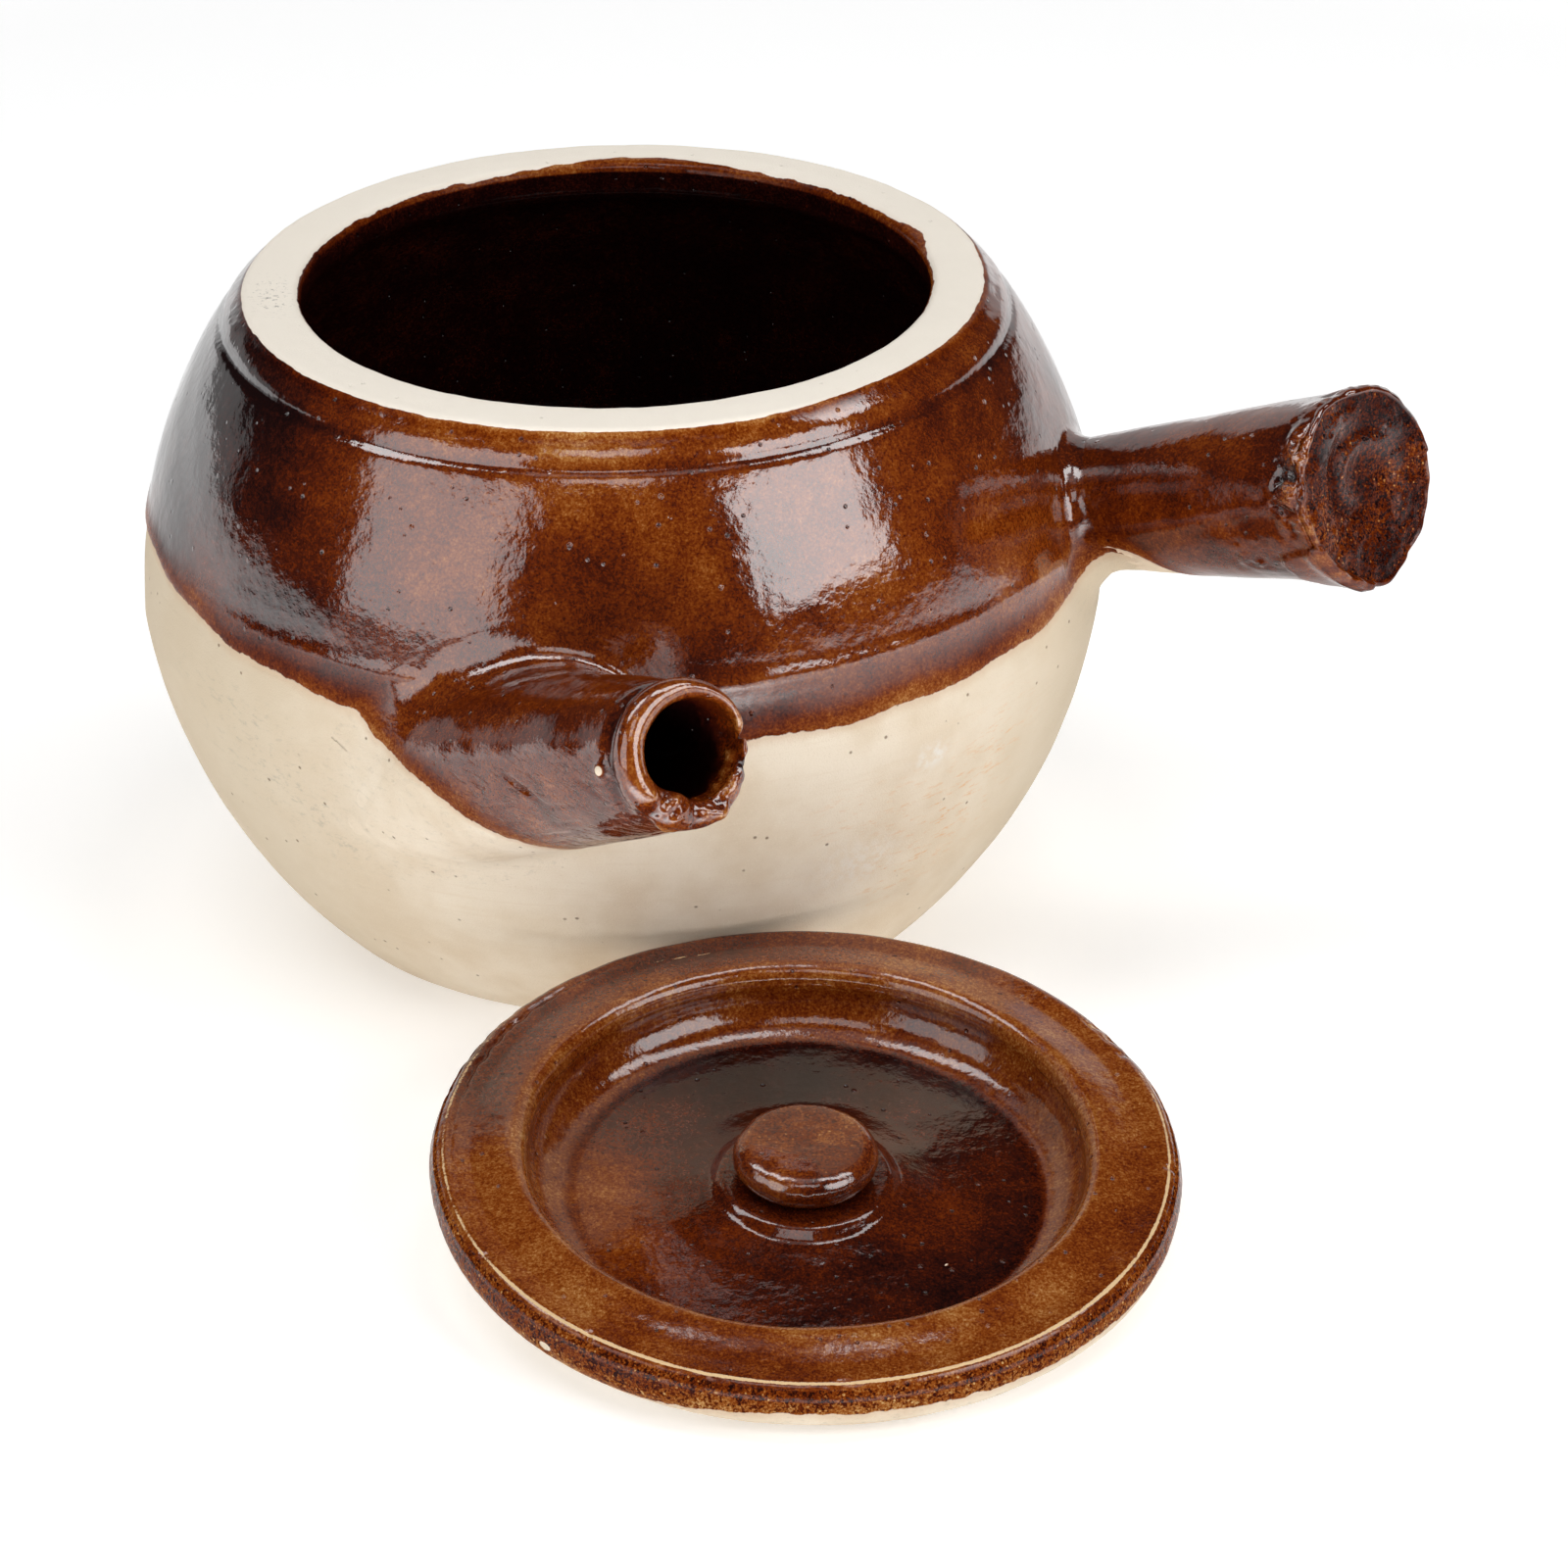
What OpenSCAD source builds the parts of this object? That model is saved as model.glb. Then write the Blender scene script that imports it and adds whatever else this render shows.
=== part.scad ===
// Clay herbal medicine pot: round thrown body, spout, side handle and a loose dished lid with a knob.
// The base stands on the table at height zero, +Z is up, sizes are in millimetres.
// Azimuths count from the -Y side and grow toward +X.

/* [Pot body] */
// Height of the rim above the table
pot_height = 138; // [100:1:200]
// Widest diameter of the belly
belly_diameter = 200; // [160:1:280]
// Height of the widest line of the belly
belly_height = 71; // [50:1:100]
// Angle by which the lower wall starts inward under the belly
belly_turn = 7.8; // [0:0.1:12]
// Diameter of the flat foot
foot_diameter = 126.5; // [90:0.5:170]
// Bevel round the edge of the foot
foot_bevel = 1.5; // [0.5:0.5:4]
// Outer diameter of the rim
rim_diameter = 152; // [110:1:200]
// Inner diameter of the mouth
mouth_diameter = 129; // [80:0.5:180]
// Height of the straight inner face of the mouth
mouth_depth = 6; // [3:0.5:12]
// Round on the outer edge of the rim
rim_round = 2; // [1:0.5:4]
// Thickness of the thrown wall, square to its face
wall = 8; // [5:0.5:12]
// Thickness of the floor at the middle
floor_thickness = 9; // [6:0.5:16]
// Radius of the bowl shape of the inner floor
floor_bowl = 150; // [110:5:400]
// Depth of the turned grooves below the rim and above the belly
groove_depth = 0.6; // [0.3:0.1:1.2]
// Radius of the hollow of the turned grooves
groove_radius = 9; // [5:0.5:14]
// Distance of the neck groove below the rim
neck_groove = 7; // [5:0.5:12]
// Distance of the belly groove above the widest line
belly_groove = 17; // [8:0.5:30]

/* [Spout] */
// Azimuth of the spout root on the body
spout_azimuth = -10.4; // [-40:0.1:40]
// Height of the spout root
spout_height = 77; // [55:0.5:100]
// Angle by which the tube is turned sideways from square to the wall
spout_turn = 45.8; // [0:0.2:50]
// Angle by which the tube rises
spout_rise = 23; // [5:0.5:45]
// Length of the tube from the wall to the lip
spout_length = 64.5; // [40:0.5:90]
// Diameter of the tube at the wall
spout_root_diameter = 37; // [30:0.5:44]
// Diameter of the tube behind the lip
spout_end_diameter = 28; // [25:0.5:36]
// Diameter of the bore
spout_bore = 18; // [12:0.5:20]
// Diameter of the bead of clay that forms the lip
lip_bead = 6; // [5:0.2:8]
// Depth by which the bore trims the inside of the bead
lip_trim = 0.2; // [0.1:0.1:1]
// Diameter by which the hole through the wall is wider than the bore
hole_ease = 1; // [0.5:0.1:2]
// Distance from the wall at which the hole narrows to the bore
hole_reach = 14; // [13:0.5:20]

/* [Handle] */
// Azimuth from the spout root to the handle root
handle_apart = 90; // [60:1:180]
// Height of the handle root
handle_height = 94; // [60:0.5:110]
// Angle by which the handle is turned sideways from square to the wall
handle_turn = -20; // [-40:1:40]
// Angle by which the handle rises
handle_rise = 15.5; // [0:0.5:45]
// Length of the handle from the wall to the cut end
handle_length = 65.5; // [45:0.5:120]
// Diameter of the handle at the wall
handle_root_diameter = 26.5; // [22:0.5:34]
// Diameter of the handle at the cut end
handle_end_diameter = 39; // [30:0.5:50]
// Slant of the cut end
handle_cut = 12; // [0:1:20]
// Depth of the hollow pressed into the cut end
end_hollow = 2.2; // [1:0.1:4]
// Width of the border left round the hollow
end_border = 3.5; // [2:0.1:6]

/* [Luting clay] */
// Reach of the wiped clay along the spout
spout_collar_reach = 27; // [22:0.5:34]
// Thickness that the wiped clay gains on its way down the spout to the wall
spout_collar_spread = 2.2; // [1:0.1:4]
// Reach of the wiped clay along the handle
handle_collar_reach = 14; // [12:0.5:20]
// Thickness that the wiped clay gains on its way down the handle to the wall
handle_collar_spread = 1.2; // [0.6:0.1:3]
// Thickness of the thin end of the wiped clay
collar_edge = 0.7; // [0.5:0.1:2]
// Depth behind the wall point from which limbs and wiped clay are drawn
root_depth = 34; // [30:1:40]

/* [Lid] */
// Outer diameter of the lid
lid_diameter = 144.4; // [136:0.2:152]
// Thickness of the flange that rests on the rim
flange_thickness = 10.2; // [8:0.1:12]
// Radius of the rounded edge of the flange
flange_round = 6.2; // [6:0.1:8]
// Clearance of the plug in the mouth, on each side
plug_clearance = 2.5; // [1:0.1:5]
// Rise of the flange top from its edge to the lip of the dish
flange_rise = 1.7; // [0:0.1:3]
// Depth of the lid from the flange edge to its underside
lid_depth = 15.5; // [14:0.5:24]
// Diameter of the flat underside
underside_diameter = 88; // [80:1:104]
// Diameter of the dish at its lip
dish_diameter = 107.6; // [96:0.2:110]
// Depth of the dish below the flange edge
dish_depth = 10.5; // [9:0.1:12]
// Radius of the cove between dish wall and dish floor
dish_cove = 8.6; // [5:0.1:9]
// Round on the lip of the dish
dish_lip = 3; // [1:0.1:4]
// Diameter of the mound in the dish
mound_diameter = 49; // [40:1:64]
// Width of the flat top of the mound round the neck
mound_seat = 0.5; // [0.3:0.1:3]
// Height of the mound
mound_height = 3.9; // [2:0.1:5]

/* [Knob] */
// Diameter of the knob
knob_diameter = 28; // [24:0.5:36]
// Thickness of the knob
knob_thickness = 7; // [5:0.5:9]
// Diameter of the neck under the knob
neck_diameter = 19; // [14:0.5:22]
// Height of the knob top over the flange top
knob_over = 1.2; // [-2:0.1:6]

/* [Placing of the lid] */
// Lid leaning on the belly beside the pot, or seated in the mouth
lid_place = "beside"; // [beside, seated]
// Azimuth at which the lid stands beside the pot
lid_azimuth = 13.3; // [-30:0.1:40]
// Angle at which the lid leans
lid_lean = 8.4; // [2:0.1:14]
// Clearance between the leaning lid and the belly
lean_gap = 0.7; // [0.5:0.1:3]

/* [Hidden] */
$fn = 180;
belly_r = belly_diameter / 2;
rim_r = rim_diameter / 2;
mouth_r = mouth_diameter / 2;
foot_r = foot_diameter / 2;

// Upper wall: one arc, upright at the belly, through the edge of the rim.
rim_in = belly_r - rim_r;
rim_up = pot_height - belly_height;
upper_r = (rim_in * rim_in + rim_up * rim_up) / (2 * rim_in);
upper_x = belly_r - upper_r;

// Lower wall: one arc from the belly, starting at belly_turn, through the edge of the foot.
foot_in = belly_r - foot_r;
lower_r = (foot_in * foot_in + belly_height * belly_height)
        / (2 * (foot_in * cos(belly_turn) - belly_height * sin(belly_turn)));
lower_x = belly_r - lower_r * cos(belly_turn);
lower_z = belly_height + lower_r * sin(belly_turn);

function upper_at(z, d) = upper_x + sqrt(pow(upper_r + d, 2) - pow(z - belly_height, 2));
function lower_at(z, d) = lower_x + sqrt(pow(lower_r + d, 2) - pow(z - lower_z, 2));
function wall_at(z) = min(upper_at(z, 0), lower_at(z, 0));

neck_z = pot_height - neck_groove;
belly_z = belly_height + belly_groove;

spout_root_r = spout_root_diameter / 2;
spout_end_r = spout_end_diameter / 2;
spout_bore_r = spout_bore / 2;
lip_r = lip_bead / 2;
lip_ring = spout_bore_r + lip_r - lip_trim;
spout_taper = (spout_end_r - spout_root_r) / spout_length;
handle_root_r = handle_root_diameter / 2;
handle_end_r = handle_end_diameter / 2;
handle_taper = (handle_end_r - handle_root_r) / handle_length;
handle_azimuth = spout_azimuth + handle_apart;
hollow_r = handle_end_r - end_border;
hollow_ball = (hollow_r * hollow_r + end_hollow * end_hollow) / (2 * end_hollow);

lid_r = lid_diameter / 2;
plug_r = mouth_r - plug_clearance;
underside_r = underside_diameter / 2;
dish_r = dish_diameter / 2;
lip_crest = dish_r + dish_lip;
mound_r = mound_diameter / 2;
neck_r = neck_diameter / 2;
mound_run = mound_r - neck_r - mound_seat;
mound_arc = (mound_run * mound_run + mound_height * mound_height) / (2 * mound_height);
mound_top = mound_height - dish_depth;
knob_r = knob_diameter / 2;
knob_round = knob_thickness / 2;
knob_low = knob_over - knob_thickness;

// Leaning lid: the front of its underside stands on the table, its back edge leans on the lower wall.
edge_x = lid_r - flange_round;
edge_z = -flange_thickness / 2;
lid_lift = lid_depth * cos(lid_lean) + underside_r * sin(lid_lean);
lean_z = lid_lift + edge_x * sin(lid_lean) + edge_z * cos(lid_lean);
lean_x = lower_at(lean_z, flange_round + lean_gap);
lid_reach = lean_x + edge_x * cos(lid_lean) - edge_z * sin(lid_lean);

clay = [0.84, 0.77, 0.66];
glaze = [0.42, 0.17, 0.06];
glaze_dark = [0.33, 0.12, 0.05];
glaze_worn = [0.50, 0.23, 0.09];

// Region from the pot's axis out to one arc of the wall.
module inside_arc(x, z, r) {
    translate([x, z]) circle(r);
    translate([min(x, 0), z - r]) square([abs(x), 2 * r]);
}

module wall_outline(d) {
    intersection() {
        inside_arc(upper_x, belly_height, upper_r + d);
        inside_arc(lower_x, lower_z, lower_r + d);
    }
}

// Outline of the full body: foot bevel, lower arc, belly, upper arc, rounded rim edge.
module body_outline() {
    tilt = asin((rim_up - rim_round) / (upper_r - rim_round));
    turn_x = upper_at(pot_height - rim_round, -rim_round);
    intersection() {
        wall_outline(0);
        polygon([[0, 0], [foot_r - foot_bevel, 0], [lower_at(foot_bevel, 0), foot_bevel],
                 [belly_diameter, foot_bevel], [belly_diameter, pot_height], [0, pot_height]]);
        union() {
            translate([turn_x, pot_height - rim_round]) circle(rim_round);
            square([turn_x, pot_height]);
            translate([upper_x, belly_height]) rotate(tilt) translate([-upper_r, -2 * upper_r])
                square([3 * upper_r, 2 * upper_r]);
        }
    }
}

module groove(z) {
    rotate_extrude() translate([upper_at(z, groove_radius - groove_depth), z]) circle(groove_radius);
}

module body_solid() {
    difference() {
        rotate_extrude() body_outline();
        groove(neck_z);
        groove(belly_z);
    }
}

// Inner outline: the wall's arcs set in by the wall, a bowl floor and a thick straight mouth.
module inside_outline() {
    difference() {
        intersection() {
            wall_outline(-wall);
            translate([0, floor_thickness + floor_bowl]) circle(floor_bowl);
            translate([0, floor_thickness / 2]) square([belly_r, pot_height]);
        }
        polygon([[mouth_r, pot_height + mouth_depth], [mouth_r, pot_height - mouth_depth],
                 [belly_r + mouth_r, pot_height - mouth_depth - belly_r], [belly_r + mouth_r, pot_height + mouth_depth]]);
    }
}

module on_wall(azimuth, z, turn, rise) {
    translate([wall_at(z) * sin(azimuth), -wall_at(z) * cos(azimuth), z])
        rotate([90 - rise, 0, azimuth + turn]) children();
}

module at_spout() {
    on_wall(spout_azimuth, spout_height, spout_turn, spout_rise) children();
}

module at_handle() {
    on_wall(handle_azimuth, handle_height, handle_turn, handle_rise) children();
}

module pot_body() {
    color(clay) difference() {
        body_solid();
        rotate_extrude() inside_outline();
        at_spout() wall_hole();
    }
}

// Hole through the wall, which opens into the root of the spout.
module wall_hole() {
    translate([0, 0, -root_depth]) cylinder(r = spout_bore_r + hole_ease / 2, h = root_depth + hole_reach);
}

module spout_tube() {
    translate([0, 0, -root_depth]) cylinder(r1 = spout_root_r - spout_taper * root_depth,
        r2 = spout_end_r, h = spout_length + root_depth - lip_r);
}

module spout() {
    color(glaze_dark) difference() {
        at_spout() difference() {
            union() {
                spout_tube();
                translate([0, 0, spout_length - lip_r]) rotate_extrude() translate([lip_ring, 0])
                    circle(lip_r, $fn = 48);
            }
            cylinder(r = spout_bore_r, h = spout_length + root_depth);
            wall_hole();
        }
        body_solid();
    }
}

module handle_bar() {
    translate([0, 0, -root_depth]) cylinder(r1 = handle_root_r - handle_taper * root_depth,
        r2 = handle_end_r + handle_taper * root_depth, h = handle_length + 2 * root_depth);
}

// The end is cut at a slant and pressed hollow.
module handle() {
    color(glaze_dark) difference() {
        at_handle() difference() {
            handle_bar();
            translate([0, 0, handle_length]) rotate([0, -handle_cut, 0]) {
                translate([-belly_r, -belly_r, 0]) cube([belly_diameter, belly_diameter, belly_diameter]);
                translate([0, 0, hollow_ball - end_hollow]) sphere(hollow_ball);
            }
        }
        body_solid();
    }
}

// Clay wiped into the corner: a hollow arc that runs from the limb out to the wall.
module wiped_ring(r_root, taper, reach, spread) {
    run = reach + root_depth;
    thin = r_root + taper * reach + collar_edge;
    arc = (reach * reach + spread * spread) / (2 * spread);
    full = arc - sqrt(arc * arc - run * run);
    translate([0, 0, -root_depth]) rotate_extrude() difference() {
        square([thin + full, run]);
        translate([thin + arc, run]) circle(arc, $fn = 900);
    }
}

module spout_collar() {
    color(glaze) difference() {
        at_spout() difference() {
            wiped_ring(spout_root_r, spout_taper, spout_collar_reach, spout_collar_spread);
            spout_tube();
        }
        body_solid();
    }
}

module handle_collar() {
    color(glaze) difference() {
        at_handle() difference() {
            wiped_ring(handle_root_r, handle_taper, handle_collar_reach, handle_collar_spread);
            handle_bar();
        }
        body_solid();
    }
}

module place_lid() {
    if (lid_place == "seated") translate([0, 0, pot_height + flange_thickness]) children();
    else translate([lid_reach * sin(lid_azimuth), -lid_reach * cos(lid_azimuth), lid_lift])
        rotate([lid_lean, 0, lid_azimuth]) children();
}

// Flange with a rounded edge, tapered plug and a coved dish with a mound for the knob.
module lid_outline() {
    difference() {
        union() {
            intersection() {
                translate([edge_x, edge_z]) circle(flange_round);
                translate([edge_x, -flange_thickness]) square([lid_r, flange_thickness]);
            }
            polygon([[0, -lid_depth], [underside_r, -lid_depth], [plug_r, -flange_thickness],
                     [edge_x, -flange_thickness], [edge_x, 0], [lip_crest, flange_rise], [0, flange_rise]]);
        }
        translate([0, -dish_depth]) square([dish_r - dish_cove, dish_depth + 2 * dish_lip]);
        translate([0, dish_cove - dish_depth]) square([dish_r, dish_depth]);
        translate([dish_r - dish_cove, dish_cove - dish_depth]) circle(dish_cove);
        difference() {
            translate([dish_r - dish_lip, flange_rise - dish_lip]) square([2 * dish_lip, 2 * dish_lip]);
            translate([lip_crest, flange_rise - dish_lip]) circle(dish_lip, $fn = 48);
        }
    }
}

module mound_outline() {
    difference() {
        translate([0, -dish_depth - mound_height / 2]) square([mound_r, 1.5 * mound_height]);
        translate([mound_r, mound_arc - dish_depth]) circle(mound_arc);
    }
}

module lid() {
    color(glaze) place_lid() rotate_extrude() {
        lid_outline();
        mound_outline();
    }
}

module lid_knob() {
    color(glaze_worn) place_lid() rotate_extrude() {
        translate([0, mound_top]) square([neck_r, knob_low - mound_top + knob_round]);
        translate([0, knob_low]) square([knob_r - knob_round, knob_thickness]);
        translate([knob_r - knob_round, knob_low + knob_round]) circle(knob_round, $fn = 48);
    }
}

pot_body();
spout();
spout_collar();
handle();
handle_collar();
lid();
lid_knob();
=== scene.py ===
"""Clay herbal medicine pot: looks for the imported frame.

Shapes are worked out in millimetres and become metres in make_mesh. Azimuths are degrees from the
front (-Y) towards +X. A limb is the spout or the handle: s runs along it and phi round it.
"""
import math
from functools import partialmethod
import bpy
import numpy as np
from mathutils import Matrix, Vector


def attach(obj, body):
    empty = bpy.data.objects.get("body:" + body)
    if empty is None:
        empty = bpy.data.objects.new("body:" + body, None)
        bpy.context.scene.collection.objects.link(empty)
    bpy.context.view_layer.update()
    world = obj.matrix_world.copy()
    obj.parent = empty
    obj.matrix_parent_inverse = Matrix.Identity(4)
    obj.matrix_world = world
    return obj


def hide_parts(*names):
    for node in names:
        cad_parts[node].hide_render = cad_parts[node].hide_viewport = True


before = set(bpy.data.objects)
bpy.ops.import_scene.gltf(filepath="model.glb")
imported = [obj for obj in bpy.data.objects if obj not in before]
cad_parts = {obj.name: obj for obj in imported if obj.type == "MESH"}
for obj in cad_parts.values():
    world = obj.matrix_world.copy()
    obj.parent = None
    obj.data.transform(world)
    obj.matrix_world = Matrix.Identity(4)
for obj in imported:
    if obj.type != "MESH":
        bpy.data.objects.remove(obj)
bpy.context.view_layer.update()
scene = bpy.context.scene

MM = 0.001
RAD = 0.01745  # radians in a degree, for lengths along an arc
DEG = 57.3  # degrees in a radian, for noise round the axis
GLAZED = 12.0  # the mark "gl" well inside the glaze; it is nought at the edge and negative on clay
BARE = -6.0

# Sizes shared with the frame
BELLY_R, BELLY_Z, BELLY_TURN = 100.0, 71.0, math.radians(7.8)
RIM_R, MOUTH_R, POT_H, FOOT_R = 76.0, 64.5, 138.0, 63.25
RIM_ROUND, MOUTH_ROUND = 2.0, 2.3
WALL, FLOOR_T, FLOOR_BOWL = 8.0, 9.0, 150.0
UPPER_R = ((BELLY_R - RIM_R) ** 2 + (POT_H - BELLY_Z) ** 2) / (2 * (BELLY_R - RIM_R))
UPPER_X = BELLY_R - UPPER_R
FOOT_IN = BELLY_R - FOOT_R
LOWER_R = (FOOT_IN ** 2 + BELLY_Z ** 2) / (
    2 * (FOOT_IN * math.cos(BELLY_TURN) - BELLY_Z * math.sin(BELLY_TURN)))
LOWER_X = BELLY_R - LOWER_R * math.cos(BELLY_TURN)
LOWER_Z = BELLY_Z + LOWER_R * math.sin(BELLY_TURN)

SPOUT_L, SPOUT_R0, SPOUT_R1, BORE_R, HOLE_R = 64.5, 18.5, 14.0, 9.0, 9.5
HANDLE_L, HANDLE_R0, HANDLE_R1, HANDLE_CUT = 65.5, 13.25, 19.5, math.radians(12)
LID_R, FLANGE_T, FLANGE_ROUND, LID_DEPTH = 72.2, 10.2, 6.2, 15.5
PLUG_R, DISH_R, DISH_DEPTH, COVE, LIP = 62.0, 53.8, 10.5, 8.6, 3.0
FLANGE_RISE, MOUND_R, MOUND_H = 1.7, 24.5, 3.9
KNOB_R, KNOB_T, NECK_R, KNOB_TOP = 14.0, 7.0, 9.5, 1.2

# Sizes of the dressed faces only
RIDGE_Z, NECK_Z, COAT = 91.0, 131.2, 0.24  # ridge on the shoulder, groove at the neck, glaze
LIP_S, LIP_BULGE = 61.3, 3.1  # where the spout's lip starts to turn over, and how far it stands out
CUT_BEVEL = 0.5  # softened edge of the handle's cut end


# ------------ noise and small maths
AXIS_PRIMES, SEED_PRIME = (73856093, 19349663, 83492791), 2654435761
MIXERS = ((13, 1540483477), (15, 2246822519))


def lattice(i, j, k, seed):
    """One fixed random number from -1 to 1 for each whole-numbered point."""
    h = np.uint32((seed * SEED_PRIME) & 0xFFFFFFFF)
    for axis, prime in zip((i, j, k), AXIS_PRIMES):
        h = h ^ (axis.astype(np.uint32) * np.uint32(prime))
    for shift, prime in MIXERS:
        h = (h ^ (h >> np.uint32(shift))) * np.uint32(prime)
    h = h ^ (h >> np.uint32(16))
    return h.astype(np.float64) / 2.0 ** 31 - 1.0


def noise(p, size, seed):
    """Smooth noise from -1 to 1 on points p (..., 3); size is the width of a lump."""
    q = p / size
    f = np.floor(q)
    t = q - f
    t = t * t * t * (t * (t * 6 - 15) + 10)
    c = f.astype(np.int64)
    out = 0.0
    for corner in np.ndindex(2, 2, 2):
        weight = 1.0
        for axis, side in enumerate(corner):
            weight = weight * (t[..., axis] if side else 1 - t[..., axis])
        out = out + weight * lattice(*(c[..., axis] + side for axis, side in enumerate(corner)), seed)
    return out


def lumps(p, *layers):
    """Sum of noises; a layer is (height, width of a lump, seed)."""
    return sum(height * noise(p, size, seed) for height, size, seed in layers)


def step(lo, hi, x):
    """Smooth step from 0 at lo to 1 at hi."""
    t = np.clip((x - lo) / (hi - lo), 0, 1)
    return t * t * (3 - 2 * t)


def hump(x, at, width):
    """Smooth bump of height 1."""
    return np.exp(-((x - at) / width) ** 2)


def turn_gap(a, b):
    """Signed difference of two angles in degrees, from -180 to 180."""
    return (a - b + 180) % 360 - 180


def near(a, at, width):
    """Bump round an angle; all in degrees."""
    return hump(turn_gap(a, at), 0, width)


def unit(v):
    return v / np.maximum(np.linalg.norm(v, axis=-1, keepdims=True), 1e-9)


# ------------ the body's surface
def wall_r(z, inset=0.0):
    """Radius of the wall's plain outer face, or of a face that lies inset under it."""
    up = UPPER_X + np.sqrt(np.maximum((UPPER_R - inset) ** 2 - (z - BELLY_Z) ** 2, 0))
    lo = LOWER_X + np.sqrt(np.maximum((LOWER_R - inset) ** 2 - (z - LOWER_Z) ** 2, 0))
    return np.minimum(up, lo)


# lower edge of the glaze: azimuths and heights
GLAZE_AZ = [-180, -130, -81, -63, -52, -44, -38, -33, -29, -10, 15, 45, 54, 60, 69, 90, 130, 180]
GLAZE_Z = [88, 90, 90.3, 88.5, 86.2, 84.7, 83.2, 82.4, 81.2, 80.2, 80, 80.3, 81.3, 82.3, 84, 86,
           88, 88]
GLAZE_BLUR = (-6, -3, 0, 3, 6)


def glaze_line(az):
    """Height of the lower edge of the glaze."""
    a = turn_gap(az, 0)
    smooth = sum(np.interp(turn_gap(a, d), GLAZE_AZ, GLAZE_Z) for d in GLAZE_BLUR) / len(GLAZE_BLUR)
    return smooth + 0.5 * np.sin(np.radians(a * 9 + 40)) + 0.35 * np.sin(np.radians(a * 23))


def around(az, per_unit, z):
    """Noise coordinates that close on themselves after a full turn."""
    a, r = np.radians(az), DEG / per_unit
    return np.stack([r * np.sin(a), r * np.cos(a), z + 0 * a], -1)


def polar(az, r, z):
    a = np.radians(az)
    return np.stack([r * np.sin(a), -r * np.cos(a), z + 0 * a], -1)


def azimuth_of(p):
    return np.degrees(np.arctan2(p[..., 0], -p[..., 1]))


def skin_offset(az, z):
    """How far the thrown and glazed outer face stands off the plain outline."""
    inside = step(0, 8, z) * (1 - step(134, 137.5, z))
    off = lumps(polar(az, wall_r(z), z), (0.30, 34, 1), (0.13, 13, 2), (0.035, 5.2, 13))
    off += lumps(around(az, 140.0, z / 4.2), (0.035, 1, 3))
    off += lumps(around(az, 90.0, z / 1.7), (0.010, 1, 4))
    ridge_z = RIDGE_Z + 0.5 * np.sin(np.radians(az * 2 + 30))
    ridge = hump(z, ridge_z, 2.1) * 0.36 - hump(z, ridge_z - 4.6, 2.8) * 0.16
    neck = -0.50 * hump(z, NECK_Z, 0.9) + 0.14 * hump(z, 134.0, 1.8)
    neck = neck * step(120, 128, z) * (1 - step(136, 137.8, z))
    coat = COAT * step(-0.5, 0.5, z - glaze_line(az))
    return (off + ridge) * inside + neck + coat * inside


def body_thick(p):
    """Thickness of the glaze on the outer face, from 0 thin and amber to 1 pooled and dark."""
    az, z = azimuth_of(p), p[..., 2]
    thick = 0.53 + lumps(p, (0.15, 40, 11), (0.10, 16, 12), (0.05, 6, 14))
    thick = thick - 0.10 * hump(z, 91.2, 2.0) - 0.10 * hump(z, 134.5, 2.0)
    thick += 0.14 * hump(z, 130.9, 1.0)
    thick += 0.24 * step(-20, -75, az) * step(-176, -110, az) * step(78, 100, z)
    thick += 0.16 * near(az, -8, 7) * hump(z, 113, 9)
    return thick + 0.06 - 0.20 * near(az, 48, 22) * hump(z, 106, 16)


def side_shade(az):
    """Painted shade: the clay is made darker and a little browner on the pot's sides."""
    away = np.abs(turn_gap(az, 8))
    return step(28, 62, away) * (1 - 0.6 * step(100, 160, away))


def body_normal(p):
    z = p[..., 2]
    d = 0.05
    slope = (wall_r(z + d) - wall_r(z - d)) / (2 * d)
    a = np.arctan2(p[..., 0], -p[..., 1])
    return unit(np.stack([np.sin(a), -np.cos(a), -slope], -1))


def from_wall(p, inset=0.0):
    """Distance of points from the wall's face, and the normal there."""
    n = body_normal(p)
    gap = np.hypot(p[..., 0], p[..., 1]) - wall_r(p[..., 2], inset)
    return gap * np.hypot(n[..., 0], n[..., 1]), n


def onto_body(p, over):
    """Moves points along the body's normal onto its finished face, or over it."""
    for _ in range(4):
        gap, n = from_wall(p)
        p = p - n * gap[..., None]
    return p + body_normal(p) * (skin_offset(azimuth_of(p), p[..., 2]) + over)[..., None]


# ------------ meshes
def put_in_scene(name, data):
    obj = bpy.data.objects.new(name, data)
    scene.collection.objects.link(obj)
    return obj


def make_mesh(name, points, faces, marks):
    """Smooth mesh of four-sided faces, with one number per point for each mark."""
    mesh = bpy.data.meshes.new(name)
    pts = np.asarray(points, np.float32).reshape(-1, 3) * MM
    mesh.vertices.add(len(pts))
    mesh.vertices.foreach_set("co", pts.ravel())
    mesh.loops.add(faces.size)
    mesh.loops.foreach_set("vertex_index", faces.astype(np.int32).ravel())
    mesh.polygons.add(len(faces))
    mesh.polygons.foreach_set("loop_start", np.arange(0, faces.size, 4, dtype=np.int32))
    mesh.update(calc_edges=True)
    mesh.validate()
    for key, values in marks.items():
        attr = mesh.attributes.new(key, "FLOAT", "POINT")
        attr.data.foreach_set("value", np.asarray(values, np.float32).ravel())
    mesh.shade_smooth()
    return put_in_scene(name, mesh)


def grid_faces(rows, cols, start=0):
    """Faces of a grid whose last column joins its first."""
    a = np.arange(rows - 1)[:, None] * cols + np.arange(cols)
    b = np.arange(rows - 1)[:, None] * cols + (np.arange(cols) + 1) % cols
    return start + np.stack([a, b, b + cols, a + cols], -1).reshape(-1, 4)


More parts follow.
